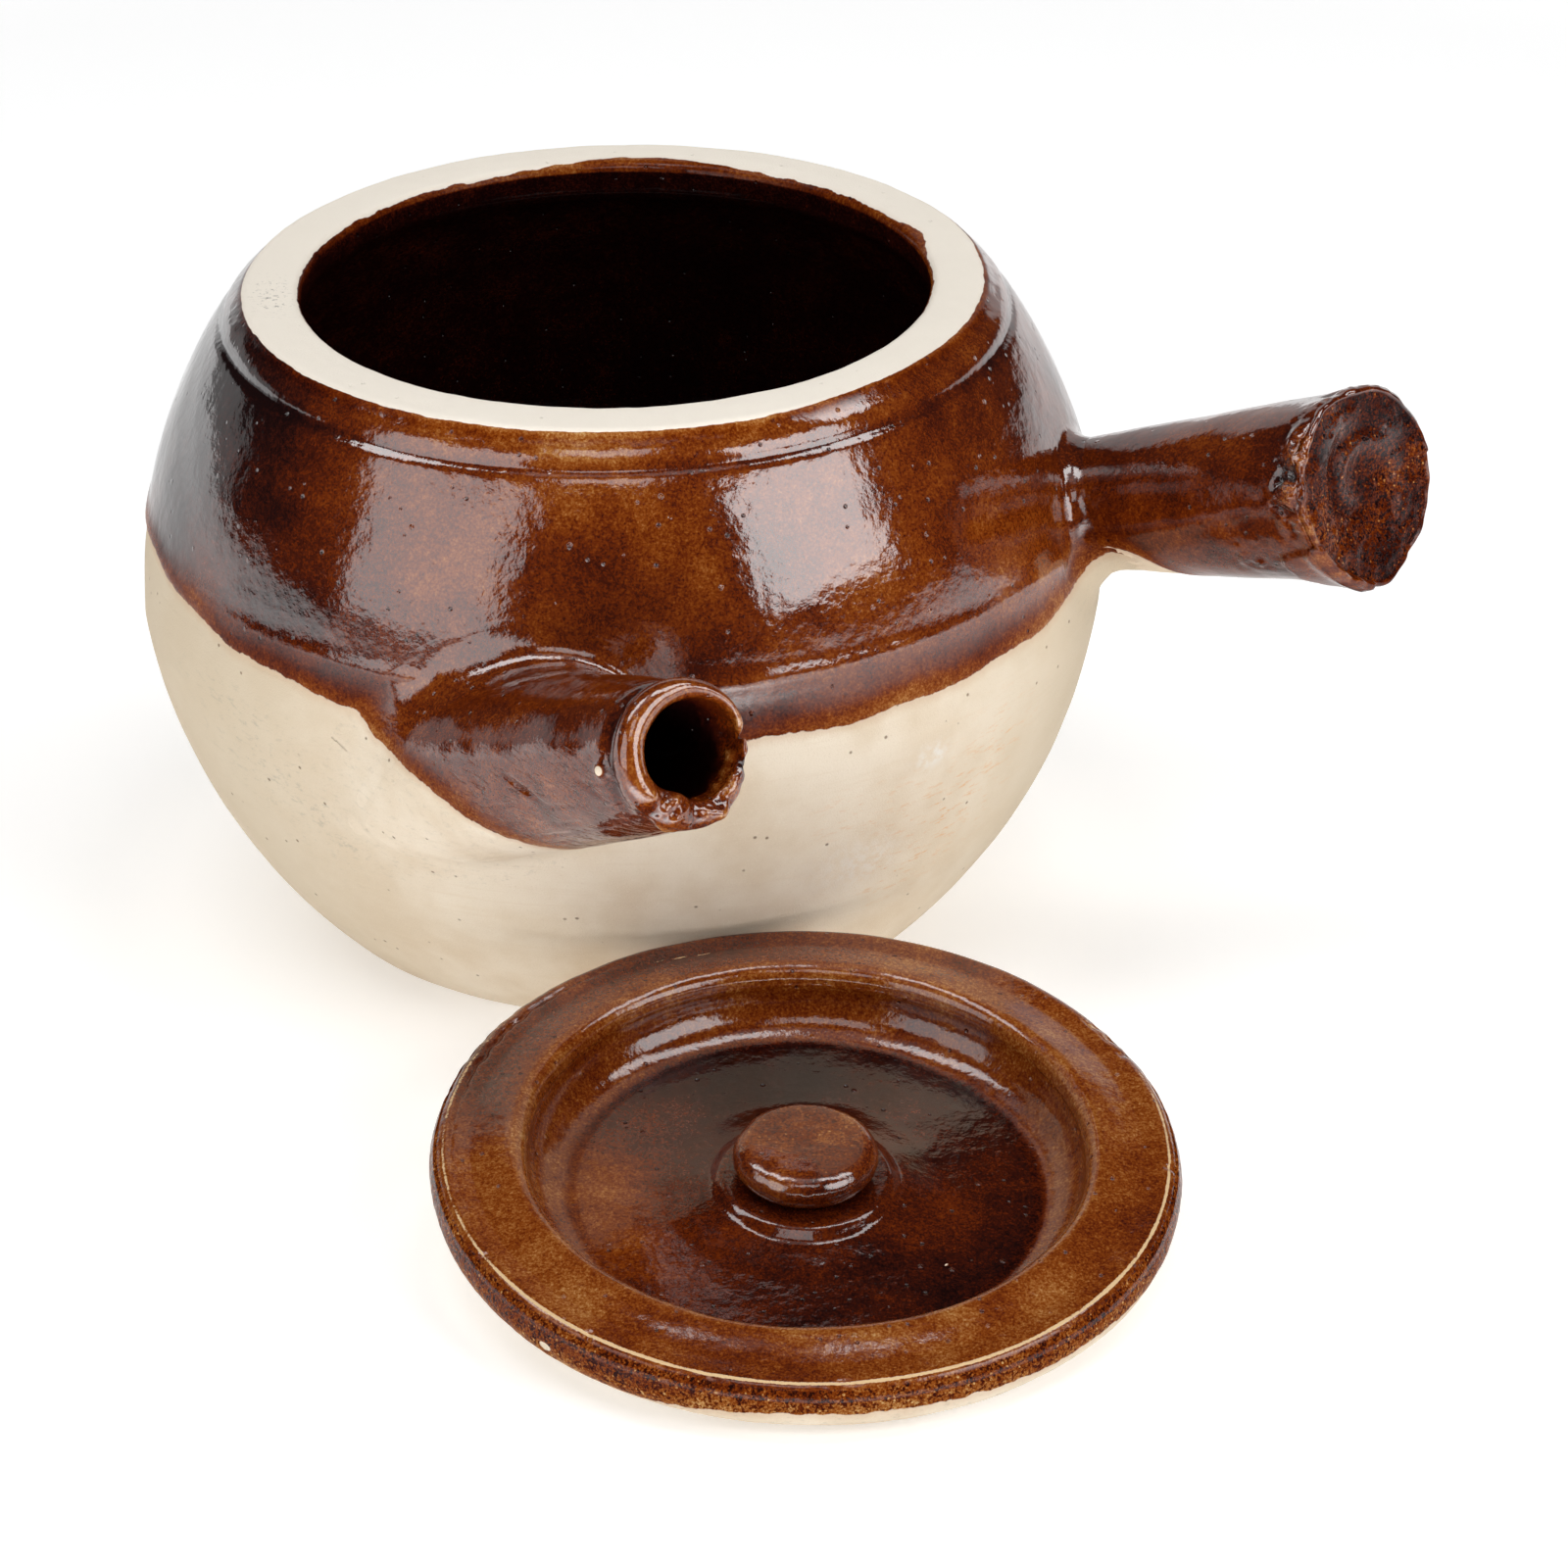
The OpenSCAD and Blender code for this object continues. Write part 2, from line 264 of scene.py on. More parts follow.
def resample(*runs):
    """Evenly spaced points on an outline; a run is (points as r and z, spacing wanted there)."""
    runs = [(list(points), spacing) for points, spacing in runs]
    points = np.array([point for run, _ in runs for point in run], float)
    spacing = np.repeat([gap for _, gap in runs], [len(run) for run, _ in runs])
    seg = np.hypot(*np.diff(points, axis=0).T)
    count = np.concatenate([[0], np.cumsum(seg / ((spacing[1:] + spacing[:-1]) / 2))])
    at = np.linspace(0, count[-1], int(round(count[-1])) + 1)
    return np.stack([np.interp(at, count, v) for v in points.T], -1)


def arc(cx, cz, r, a0, a1, n):
    a = np.radians(np.linspace(a0, a1, n))
    return [(cx + r * math.cos(t), cz + r * math.sin(t)) for t in a]


def spin(o, angles):
    """Grids of an outline turned round the axis: angle, r, z, normal's r and z, outline length."""
    t = unit(np.gradient(o, axis=0))
    length = np.concatenate([[0], np.cumsum(np.hypot(*np.diff(o, axis=0).T))])
    A = np.broadcast_to(angles, (len(o), len(angles)))
    columns = (o[:, 0], o[:, 1], t[:, 1], -t[:, 0], length)
    return (A, *(np.broadcast_to(c[:, None], A.shape) for c in columns))


# ------------ limbs
def limb_frame(az, z, turn, rise):
    """Root of a limb on the wall, its two cross directions and the direction along it."""
    a, r, b = math.radians(az + turn), math.radians(rise), math.radians(az)
    w = wall_r(z)
    x = np.array([math.cos(a), math.sin(a), 0])
    d = np.array([math.cos(r) * math.sin(a), -math.cos(r) * math.cos(a), math.sin(r)])
    return np.array([w * math.sin(b), -w * math.cos(b), z]), x, np.cross(d, x), d


SPOUT = limb_frame(-10.4, 77.0, 45.8, 23.0)
HANDLE = limb_frame(79.6, 94.0, -20.0, 15.5)


def limb_point(limb, s, phi, r):
    o, x, y, d = limb
    s, a, r = np.broadcast_arrays(s, np.radians(phi), r)
    return o + s[..., None] * d + (r * np.cos(a))[..., None] * x + (r * np.sin(a))[..., None] * y


def limb_place(limb, p):
    """The s and phi of points."""
    rel = p - limb[0]
    return rel @ limb[3], np.degrees(np.arctan2(rel @ limb[2], rel @ limb[1]))


def limb_radial(limb, phi):
    a = np.radians(phi)
    return np.cos(a)[..., None] * limb[1] + np.sin(a)[..., None] * limb[2]


def arc_gap(phi, r, at):
    """Distance in mm, round a limb, from the angle at."""
    return turn_gap(phi, at) * r * RAD


def limb_rows(rows, phi):
    """Grids from rows of (s, r, share): s, r, share and phi."""
    S, R, share = (np.stack(c) for c in zip(*rows))
    return S, R, share, np.broadcast_to(phi, S.shape)


def row_direction(R, S):
    """Unit direction, as (r, s), in which the rows of a limb follow one another."""
    return unit(np.gradient(np.stack([R, S], -1), axis=0))


def meeting(limb, phi, radius, start, stop, inset):
    """For each line along a limb, the place where it first dips under the body's wall."""
    s = np.arange(start, stop, -0.1)[:, None] + 0 * phi[None, :]
    q = limb_point(limb, s, phi[None, :], radius(s))
    under = np.hypot(q[..., 0], q[..., 1]) < wall_r(q[..., 2], inset)
    first = np.where(under.any(axis=0), np.argmax(under, axis=0), len(s) - 1)
    return s[first, np.arange(len(phi))]


def hole_meeting(phi):
    """Where the hole behind the spout comes out on the inner wall."""
    return meeting(SPOUT, phi, lambda s: HOLE_R + 0 * s, 5, -40, WALL)


def full_turn(cols, start=0):
    return np.linspace(start, start + 360, cols, endpoint=False)


def spout_r(s):
    """Radius of the spout, which draws in where it lies along the wall, so that it dips under it."""
    return SPOUT_R0 + (SPOUT_R1 - SPOUT_R0) * s / SPOUT_L - 2.4 * step(-18, -56, s)


def handle_r(s):
    return HANDLE_R0 + (HANDLE_R1 - HANDLE_R0) * s / HANDLE_L


# ------------ body
# marks on the bare clay: strength, azimuth, height, half width in degrees, half height
RUST_SPOTS = [(1.0, 44, 50, 9, 12), (0.8, 30, 58, 6, 5), (0.7, 37, 38, 6, 8), (0.6, 52, 64, 6, 8),
              (0.25, -120, 40, 20, 20)]
GREY_SPOTS = [(1.0, -48, 63, 9, 9), (0.9, -36, 52, 10, 12), (0.7, -24, 57, 6, 8),
              (0.5, 100, 45, 20, 18), (0.8, -52, 74, 10, 4)]
WHITE_SPOTS = [(1.0, 39, 66.5, 2.2, 2.5), (0.5, 31, 44, 6, 6)]
# tongues of bare clay that reach into the mouth: length, azimuth, half width in degrees
MOUTH_TONGUES = [(2.6, 172, 13), (2.4, 110, 6), (0.9, 140, 16), (1.2, -175, 9)]
BODY_COLS, SLEEVE_COLS = 720, 96
INSIDE_THICK = 0.93


def body_outline():
    """From the middle of the foot, up the outer face, over the rim and down to the inner floor."""
    round_z = POT_H - RIM_ROUND
    tilt = math.degrees(math.asin((round_z - BELLY_Z) / (UPPER_R - RIM_ROUND)))
    turn_x = UPPER_X + math.sqrt((UPPER_R - RIM_ROUND) ** 2 - (round_z - BELLY_Z) ** 2)
    lower = np.linspace(3.0, BELLY_Z, 120)
    upper = np.linspace(BELLY_Z + 0.5, BELLY_Z + UPPER_R * math.sin(math.radians(tilt)) - 0.3, 140)
    inside = np.linspace(POT_H - 12, 24, 80)
    r = np.linspace(58, 0, 30)
    o = resample(
        ([(0.0, 0.7), (30.0, 0.7), (48.0, 0.25), (57.0, 0.0)], 3.0),
        ([(60.0, 0.0), (61.4, 0.05), (62.6, 0.45), (63.6, 1.1), (64.6, 2.0)], 0.5),
        (zip(wall_r(lower), lower), 0.9),
        (zip(wall_r(upper), upper), 0.7),
        (arc(turn_x, round_z, RIM_ROUND, tilt, 88, 10), 0.4),
        ([(72.0, POT_H + 0.12), (70.0, POT_H + 0.15), (68.0, POT_H + 0.05)], 0.5),
        (arc(MOUTH_R + MOUTH_ROUND, POT_H - MOUTH_ROUND, MOUTH_ROUND, 90, 180, 10), 0.4),
        ([(MOUTH_R, POT_H - 4.5), (MOUTH_R + 0.3, POT_H - 6.5), (MOUTH_R + 2.6, POT_H - 9.0)], 1.0),
        (zip(wall_r(inside, WALL), inside), 2.2),
        (zip(r, FLOOR_T + FLOOR_BOWL - np.sqrt(FLOOR_BOWL ** 2 - r ** 2)), 3.0))
    top = int(np.argmax(o[:, 1]))
    # the inner floor runs into the wall in a thrown curve
    low_part = top + np.flatnonzero((o[top:, 1] < 44) & (o[top:, 0] > 30))
    for _ in range(60):
        o[low_part] = 0.25 * o[low_part - 1] + 0.5 * o[low_part] + 0.25 * o[low_part + 1]
    return o, top


def hole_sleeve():
    """Rings of points: the hole behind the spout, then a flat ring lying on the inner wall."""
    phi = full_turn(SLEEVE_COLS)
    inner_s = hole_meeting(phi)
    rings = [limb_point(SPOUT, np.maximum(inner_s + 22, 2), phi, HOLE_R)]
    rings += [limb_point(SPOUT, inner_s + ahead, phi, HOLE_R) for ahead in (6, 3, 1.2, 0.5)]
    for wide, over in ((0.4, 0.35), (1.2, 0.35), (2.4, 0.35), (3.4, 0.10)):
        q = limb_point(SPOUT, inner_s, phi, HOLE_R + wide)
        for _ in range(5):
            gap, n = from_wall(q, WALL)
            q = q - n * (gap + over)[..., None]
        rings.append(q)
    return np.stack(rings)


def build_body():
    o, top = body_outline()
    A, R, Z, NR, NZ, S = spin(o, full_turn(BODY_COLS, -180))
    outer_edge = S[np.argmin(np.hypot(o[:, 0] - 75.3, o[:, 1] - POT_H)), 0] - 1.3
    inner_edge = S[np.argmin(np.hypot(o[:, 0] - 65.3, o[:, 1] - POT_H + 0.7)), 0]
    row = np.arange(len(o))[:, None]
    outer = (row < top) & (Z > 1.5)
    inner = (row > top) & (Z < POT_H - 5)
    on_rim = (S > outer_edge - 3) & (S < inner_edge + 4)
    P0 = polar(A, R, Z)
    off = np.where(outer, skin_offset(A, Z), 0) + on_rim * lumps(P0, (0.10, 9, 5), (0.05, 3, 6))
    off += inner * (lumps(P0, (0.35, 24, 7)) + 0.18 * noise(around(A, 160.0, Z / 5.0), 1, 8))
    # edge of the glaze: lower line outside, rim's outer corner, ragged line at the mouth
    low = Z - glaze_line(A)
    rim_out = outer_edge - S + 0.12 * noise(around(A, 4.2, 5), 1, 10)
    rim_out += 1.2 * step(15, 50, A) * step(130, 95, A)
    rag = 0.4 * noise(around(A, 3.1, 0), 1, 9) * (0.15 + step(90, 140, np.abs(A)))
    rim_in = S - inner_edge + rag + sum(reach * near(A, at, wide) for reach, at, wide in MOUTH_TONGUES)
    gl = np.where(S < (outer_edge + inner_edge) / 2, np.minimum(low, 3 * rim_out), 1.5 * rim_in)

    def spots(table):
        return outer * sum(strength * near(A, at, wide) * hump(Z, height, high)
                           for strength, at, height, wide, high in table)

    marks = {
        "gl": np.minimum(gl, GLAZED),
        "thick": np.where(S > inner_edge + 1.5, INSIDE_THICK, body_thick(P0)),
        "rust": spots(RUST_SPOTS),
        "grey": spots(GREY_SPOTS),
        "white": spots(WHITE_SPOTS),
        "soot": near(A, -84, 6.0) * on_rim * hump(R, 70.4, 3.4),
        "pale": step(outer_edge - 2, outer_edge, S) * step(inner_edge + 2, inner_edge, S),
        "dull": 0.6 * (S > inner_edge + 2),
        # painted shade on the pot's sides
        "side_shade": side_shade(A),
    }
    points = polar(A, R + off * NR, Z + off * NZ).reshape(-1, 3)
    faces = grid_faces(len(o), BODY_COLS)
    # the wall is open behind the spout, and a sleeve lines the opening
    centre = points[faces].mean(1) - SPOUT[0]
    along = centre @ SPOUT[3]
    radial = np.linalg.norm(centre - along[:, None] * SPOUT[3], axis=1)
    faces = faces[~((radial < HOLE_R + 0.3) & (along > -40) & (along < 20))]
    sleeve = hole_sleeve()
    faces = np.concatenate([faces, grid_faces(len(sleeve), SLEEVE_COLS, len(points))[:, ::-1]])
    sleeve = sleeve.reshape(-1, 3)
    fill = {"gl": GLAZED, "thick": INSIDE_THICK}
    marks = {key: np.concatenate([values.ravel(), np.full(len(sleeve), fill.get(key, 0.0))])
             for key, values in marks.items()}
    return make_mesh("pot_body_look", np.concatenate([points, sleeve]), faces, marks)


# ------------ spout
# edge of the glaze round the spout's root: phi and s
SPOUT_EDGE_PHI = [0, 30, 100, 150, 162, 170, 179, 191, 201, 212, 225, 240, 254, 275, 300, 325, 345,
                  360]
SPOUT_EDGE_S = [2, -30, -60, -22, -15, -10, -4.6, 0.2, 4.3, 8.3, 12.7, 17.2, 19.5, 22, 22, 18, 10, 2]
# cuts in the spout's side: depth, s, half length, phi, s of that phi, lean in degrees per mm, half width
SPOUT_CUTS = [(1.6, 26.5, 3.6, 181, 25, 2.4, 0.5), (0.6, 49, 2.6, 188, 49, 3, 0.55),
              (0.5, 12, 1.6, 178, 12, 3, 0.5)]
CRUMB_S, CRUMB_PHI = 54.4, 175  # crumb of bare clay stuck to the side
LIMB_COLS, LIP_ROWS = 300, 30


def spout_glaze(s, phi):
    """Signed distance from the edge of the glaze round the spout's root, positive on the glaze."""
    return 0.65 * (s - np.interp(phi % 360, SPOUT_EDGE_PHI, SPOUT_EDGE_S))


def spout_skin(p):
    return lumps(p, (0.35, 17, 23), (0.12, 6, 24))


def spout_thick(p):
    return 0.58 + lumps(p, (0.12, 18, 30), (0.06, 6, 31))


def spout_rows(phi, lip):
    """Rows of (s, r, share of the lip's turn), and the number of rows on the outer face."""
    none = np.zeros(LIMB_COLS)
    torn = 1 - lip
    bead = 0.75 * lip + 0.15
    flare = 0.5 + 2.3 * near(phi, 18, 55) - 2.2 * near(phi, 236, 34)
    broken = 2.0 * near(phi, -4, 48)
    # outer face, from inside the wall
    root = meeting(SPOUT, phi, spout_r, 40, -57, WALL / 2)
    outer = [root + (50 - root) * u for u in np.linspace(0, 1, 100, endpoint=False)]
    outer += [np.full(LIMB_COLS, s) for s in np.arange(50, 61.2, 0.45)]
    rows = []
    for s in outer:
        r = spout_r(s) + bead * hump(s, 61.6, 2.6) - 0.8 * lip * hump(s, 57.4, 1.7)
        rows.append((s, r - broken * step(44, 60, s), none))
    # rounded lip, over and into the bore
    end_r, lip_r = spout_r(LIP_S) + bead - broken, BORE_R + flare
    drop = torn * (1.5 + 1.4 * noise(np.stack([phi / 22, none, none], -1), 1, 21))
    for a in np.radians(np.linspace(8, 172, LIP_ROWS)):
        rise = LIP_BULGE * math.sin(a) - drop * math.sin(a) ** 0.7
        r = (end_r + lip_r) / 2 + (end_r - lip_r) / 2 * math.cos(a)
        rows.append((LIP_S + rise, r, np.full(LIMB_COLS, math.sin(a))))
    # bore, then the hole in the wall
    bore = np.concatenate([np.arange(60.4, 50, -0.6), np.arange(50, 40, -1.0), np.arange(40, 14, -2.0)])
    for s in bore:
        rows.append((np.full(LIMB_COLS, s), BORE_R + flare * step(50, 61.5, s), none))
    hole_from, hole_end = 13.9, np.maximum(hole_meeting(phi) + 3, -8)
    for u in (0.0, 0.2, 0.4, 0.6, 0.8, 1.0):
        rows.append((hole_from + (hole_end - hole_from) * u, np.full(LIMB_COLS, HOLE_R + 0.05), none))
    return rows, len(outer)


def build_spout():
    phi = full_turn(LIMB_COLS)
    lip = step(112, 78, np.abs(turn_gap(phi, 112)))  # 1 where the lip is whole, 0 where it is torn
    rows, outer_rows = spout_rows(phi, lip)
    S, R, turned, F = limb_rows(rows, phi)
    P0 = limb_point(SPOUT, S, F, R)
    row = np.arange(len(rows))[:, None]
    outer, bore = row < outer_rows, row >= outer_rows + LIP_ROWS
    whole = np.broadcast_to(lip, S.shape)
    torn = 1 - whole

    # hand-wiped dents, drag marks and cuts
    off = spout_skin(P0)
    under = step(150, 190, F) * (1 - step(300, 330, F)) * outer
    drag = noise(np.stack([S / 9.0, F / 5.0, 0 * S], -1), 1, 25)
    off -= under * 0.30 * np.maximum(drag - 0.25, 0)
    for depth, at, long, angle, angle_at, lean, wide in SPOUT_CUTS:
        cut = hump(S, at, long) * hump(arc_gap(F, R, angle + (S - angle_at) * lean), 0, wide)
        off -= depth * cut * outer
    off += 1.0 * hump(S, CRUMB_S, 1.5) * hump(arc_gap(F, R, CRUMB_PHI), 0, 1.4) * outer
    # torn lower lip
    rough = np.maximum(turned * torn, torn * hump(S, 61, 2.0) * outer) + torn * bore * hump(S, 60, 5)
    clods = lumps(P0, (0.95, 3.6, 26), (0.40, 1.8, 27), (0.10, 0.9, 22))
    off += rough * (clods + 0.1)
    off = off + turned * whole * lumps(P0, (0.15, 4, 28)) - bore * 0.2 * np.abs(noise(P0, 5, 29))
    t = row_direction(R, S)
    P = limb_point(SPOUT, S - off * t[..., 0], F, R + off * t[..., 1])
    thick = spout_thick(P0) - 0.20 * hump(S, 62.8, 1.6) * whole * outer - 0.22 * turned * whole
    thick = thick + 0.20 * hump(S, 57.4, 1.6) * whole * outer + bore * step(62, 52, S) * 0.5
    gl = np.where(outer, np.minimum(spout_glaze(S, F), GLAZED), GLAZED)
    gl -= 22.0 * hump(S, CRUMB_S, 1.3) * hump(arc_gap(F, R, CRUMB_PHI), 0, 1.2) * outer
    marks = {
        "gl": gl,
        "thick": thick - rough * (0.10 + 0.40 * clods),
        "grain": rough * 0.35,
        "wipe": under * step(-20, 10, S),
        "grey": outer * step(0.5, -2, gl) * 0.4,
        "dull": 0.35 * under + 0.15 * np.clip(rough, 0, 1),
    }
    return make_mesh("spout_look", P, grid_faces(len(rows), LIMB_COLS), marks)


# ------------ handle
UNDERSIDE = 268  # phi of the handle's underside
# the handle's bare strip: s, and half its angle
BARE_S = [-10, 12, 15.6, 17.3, 19.6, 21.6, 23.5, 27, 31, 35]
BARE_HALF = [70, 68, 64, 59, 50, 40, 30, 18, 8, -12]
# glaze folded back over the cut edge: phi, and how far from the end it reaches
FLAP_PHI, FLAP_REACH = [170, 196, 205, 225, 240, 250, 258], [-3, -2, 9, 10, 7, 3, -3]
SIDE_ROWS, BOWL_SHARE, BOWL_DEPTH = 120, 0.84, 2.2


def handle_end(phi, r):
    """The s of the slanting cut end."""
    return HANDLE_L + math.tan(HANDLE_CUT) * r * np.cos(np.radians(phi))


def handle_skin(p):
    return lumps(p, (0.35, 20, 41), (0.12, 7, 42))


def handle_thick(p):
    return 0.60 + lumps(p, (0.14, 18, 52), (0.08, 5, 53))


def handle_glaze(s, phi, r):
    """Signed distance from the edge of the bare strip, positive on the glaze."""
    return (np.abs(turn_gap(phi, UNDERSIDE)) - np.interp(s, BARE_S, BARE_HALF)) * RAD * r


def handle_rows(phi):
    """Rows of (s, r, 0 on the side or 1 on the cut end)."""
    none, full = np.zeros(LIMB_COLS), np.ones(LIMB_COLS)
    lobes = 0.9 * near(phi, 108, 22) - 1.5 * near(phi, 226, 24) + 0.5 * near(phi, 268, 16)
    lobes = lobes + 0.35 * np.sin(np.radians(phi * 3 + 20)) + 0.25 * np.sin(np.radians(phi * 7))
    jag = 0.55 * noise(np.stack([phi / 24, none, none], -1), 1, 39)
    jag += 0.3 * noise(np.stack([phi / 8, none, none + 7], -1), 1, 40)
    root = meeting(HANDLE, phi, handle_r, 40, -34, WALL / 2)
    end = handle_end(phi, HANDLE_R1)
    rows = []
    for u in np.linspace(0, 1, SIDE_ROWS):
        s = root + (end - CUT_BEVEL + jag - root) * u ** 0.9
        rows.append((s, handle_r(s) + lobes * step(40, 66, s), none))
    for t in np.linspace(0.2, 1.0, 5):
        rows.append((end - CUT_BEVEL * (1 - t) + jag, HANDLE_R1 + lobes - CUT_BEVEL * t * t, none))
    for share in np.linspace(0.985, 0.0, 56):
        r = (HANDLE_R1 - CUT_BEVEL + lobes) * share
        bowl = -BOWL_DEPTH * max(1 - (share / BOWL_SHARE) ** 2, 0.0)
        rows.append((handle_end(phi, r) + bowl + jag * step(0.72, 1.0, share), r, full))
    return rows


def build_handle():
    phi = full_turn(LIMB_COLS)
    rows = handle_rows(phi)
    S, R, face, F = limb_rows(rows, phi)
    P0 = limb_point(HANDLE, S, F, R)
    side = 1 - face
    to_end = handle_end(phi, HANDLE_R1) - S

    # torn crumbs and a glaze drip at the cut edge
    off = side * handle_skin(P0)
    crumbs = hump(to_end, 3.2, 3.2) * (near(F, 152, 26) + 0.25 * near(F, 80, 40)) * side
    clump = lumps(P0, (1.2, 3.4, 43), (0.8, 1.6, 44))
    off += crumbs * (0.5 + 1.7 * clump)
    flap = np.interp(F % 360, FLAP_PHI, FLAP_REACH)
    off += side * 1.3 * step(-0.8, 0.8, flap - to_end + 0.7 * noise(P0, 3, 58))
    off += side * 0.8 * hump(to_end, 1.0, 1.6) * (0.4 + 0.6 * noise(P0, 6, 45))
    # wavy bare patch along the underside
    gl = handle_glaze(S, F, R) + 0.6 * noise(P0, 6, 46)
    gl = np.where(face > 0.5, GLAZED, gl)
    pits = step(1.0, -3.0, gl) * side
    off -= pits * 0.5 * np.maximum(noise(P0, 1.8, 47) - 0.1, 0)
    off += 0.22 * step(-0.4, 0.4, gl) * side
    scar = hump(S, 47, 7) * hump(arc_gap(F, R, 208), 0, 3.5) * side
    off += scar * 0.5 * noise(P0, 1.7, 48)
    # dished, twisted-off end
    coil = (np.radians(turn_gap(F, 100)) + R * 0.42) / (2 * np.pi) % 1.0
    swirl = (hump(coil, 0.5, 0.16) - 0.6 * hump(coil, 0.72, 0.10)) * hump(R, 7.5, 5.0)
    lump = hump(arc_gap(F, R, 112), 0, 4.5) * hump(R, 14.5, 2.8)
    lump += 0.6 * hump(arc_gap(F, R, 35), 0, 3.0) * hump(R, 13.0, 2.2)
    rough = lumps(P0, (0.30, 3.6, 49), (0.14, 1.5, 50), (0.6, 9, 51)) + 1.1 * swirl + 1.1 * lump
    off += face * rough * step(0, 5, R) * step(19.4, 16.5, R)
    t = np.where((face > 0.5)[..., None], np.array([-1.0, 0.0]), row_direction(R, S))
    P = limb_point(HANDLE, S - off * t[..., 0], F, R + off * t[..., 1])
    thick = handle_thick(P0) - 0.04 - 0.45 * np.clip(crumbs, 0, 1) * np.clip(clump, -0.6, 0.9)
    left = near(F, 185, 55) * step(-0.15, 0.25, noise(P0, 1.7, 54))
    rim = hump(to_end, 0.0, 1.1) * side + face * hump(R, 18.7, 0.7)
    thick = thick - 0.24 * left * rim + face * (0.10 - 0.10 * swirl + 0.12 * noise(P0, 7, 56))
    bright = np.clip(1.2 * lump + 0.6 * np.maximum(swirl, 0), 0, 1)
    lower = step(40, 90, np.abs(turn_gap(F, 90)))
    marks = {
        "gl": gl,
        "thick": thick,
        "grain": np.clip(crumbs, 0, 1) + 1.1 * face,
        "grey": pits * 0.6,
        "wipe": scar,
        "dull": (0.94 - 0.55 * bright) * face + 0.65 * side * lower,
    }
    return make_mesh("handle_look", P, grid_faces(len(rows), LIMB_COLS), marks)


# ------------ collars
COLLAR_COLS, COLLAR_ROWS, COLLAR_BLUR = 360, 40, 40
# both ends of a collar sink slowly under the faces they meet: how far out, how far over the face
SINK = [(1.4, -0.01), (2.8, -0.12), (4.2, -0.7)]


def build_collar(name, limb, radius, on_limb, on_body, edge, limb_skin, limb_thick, seed):
    """Wiped clay between limb and body: a hollow strip from the limb's face to the body's face."""
    phi = full_turn(COLLAR_COLS)
    s_root = meeting(limb, phi, radius, 55, -60, 0.0)
    blur = np.exp(-(np.fft.fftfreq(COLLAR_COLS) * COLLAR_BLUR) ** 2)
    s_root = np.real(np.fft.ifft(np.fft.fft(s_root) * blur))
    corner = limb_point(limb, s_root, phi, radius(s_root))
    nb, nt = body_normal(corner), limb_radial(limb, phi)
    dot = (nb * nt).sum(-1, keepdims=True)
    along_body, up_limb = unit(nt - dot * nb), unit(nb - dot * nt)

    def body_face(out, over):
        return onto_body(corner + along_body * (on_body(phi) + out)[:, None], over)

    def limb_face(up, over):
        s, f = limb_place(limb, corner + up_limb * (on_limb(phi) + up)[:, None])
        p = limb_point(limb, s, f, radius(s))
        return limb_point(limb, s, f, radius(s) + limb_skin(p) + over)

    top, low = limb_face(0, 0.05), body_face(0, 0.05)
    across = np.linspace(0, 1, COLLAR_ROWS)
    P = np.stack([(1 - v) ** 2 * top + 2 * v * (1 - v) * corner + v * v * low for v in across])
    V = np.broadcast_to(across[:, None], P.shape[:2])
    n = unit((1 - V)[..., None] * nt[None] + V[..., None] * nb[None])
    wiped = lumps(P, (0.30, 9, seed), (0.12, 4, seed + 1)) + 0.15
    P = P + n * (np.sin(np.pi * V) ** 2 * wiped)[..., None]
    up = np.stack([limb_face(*sink) for sink in reversed(SINK)])
    down = np.stack([body_face(*sink) for sink in SINK])
    P = np.concatenate([up, P, down])
    V = np.concatenate([np.zeros(up.shape[:2]), V, np.ones(down.shape[:2])])
    F = np.broadcast_to(phi, V.shape)
    az = azimuth_of(P)
    gl = edge(F, V, np.clip(P[..., 2] - glaze_line(az), BARE, GLAZED), P)
    ease = step(0.1, 0.9, V)
    marks = {
        "gl": gl,
        "thick": limb_thick(P) * (1 - ease) + body_thick(P) * ease,
        "grain": 0.10 * np.sin(np.pi * V),
        "grey": step(0.5, -2, gl) * 0.5,
        # painted shade on the pot's sides
        "side_shade": side_shade(az),
    }
    return make_mesh(name, P, grid_faces(len(P), COLLAR_COLS), marks)


def lift(phi):
    """One along the top of a limb, nought below it."""
    return step(-0.35, 0.75, np.sin(np.radians(phi)))


def spout_edge(F, V, body_gl, P):
    own = np.clip(spout_glaze(*limb_place(SPOUT, P)), BARE, GLAZED)
    to_body = step(0.45, 1.0, V)
    return own * (1 - to_body) + body_gl * to_body + 0.3 * noise(P, 5, 61) * np.sin(np.pi * V)


def handle_edge(F, V, body_gl, P):
    own = np.clip(handle_glaze(limb_place(HANDLE, P)[0], F, HANDLE_R0), BARE, GLAZED)
    return own * (1 - V) + body_gl * V + 0.4 * noise(P, 5, 62) * np.sin(np.pi * V)


# ------------ lid and knob
LID_LEAN, LID_AZ = math.radians(8.4), math.radians(13.3)
LID_AT = Vector((36.443, -154.167, 21.761)) * MM
LID_PLACE = (Matrix.Translation(LID_AT) @ Matrix.Rotation(LID_AZ, 4, "Z")
             @ Matrix.Rotation(LID_LEAN, 4, "X"))
# angle, height, width and depth of the chips on the lid's edge
LID_CHIPS = [(22, -0.4, 2.0, 1.3), (18, -0.6, 1.7, 1.1), (13, -0.4, 1.1, 0.9), (-146, -6.2, 1.5, 1.4),
             (-139, -0.3, 0.9, 0.9), (-119, -1.2, 1.1, 1.0), (-164, -0.3, 0.8, 0.8),
             (-98, -0.5, 2.2, 0.6), (-17, -0.4, 0.9, 0.9), (-40, -0.5, 1.5, 0.7)]
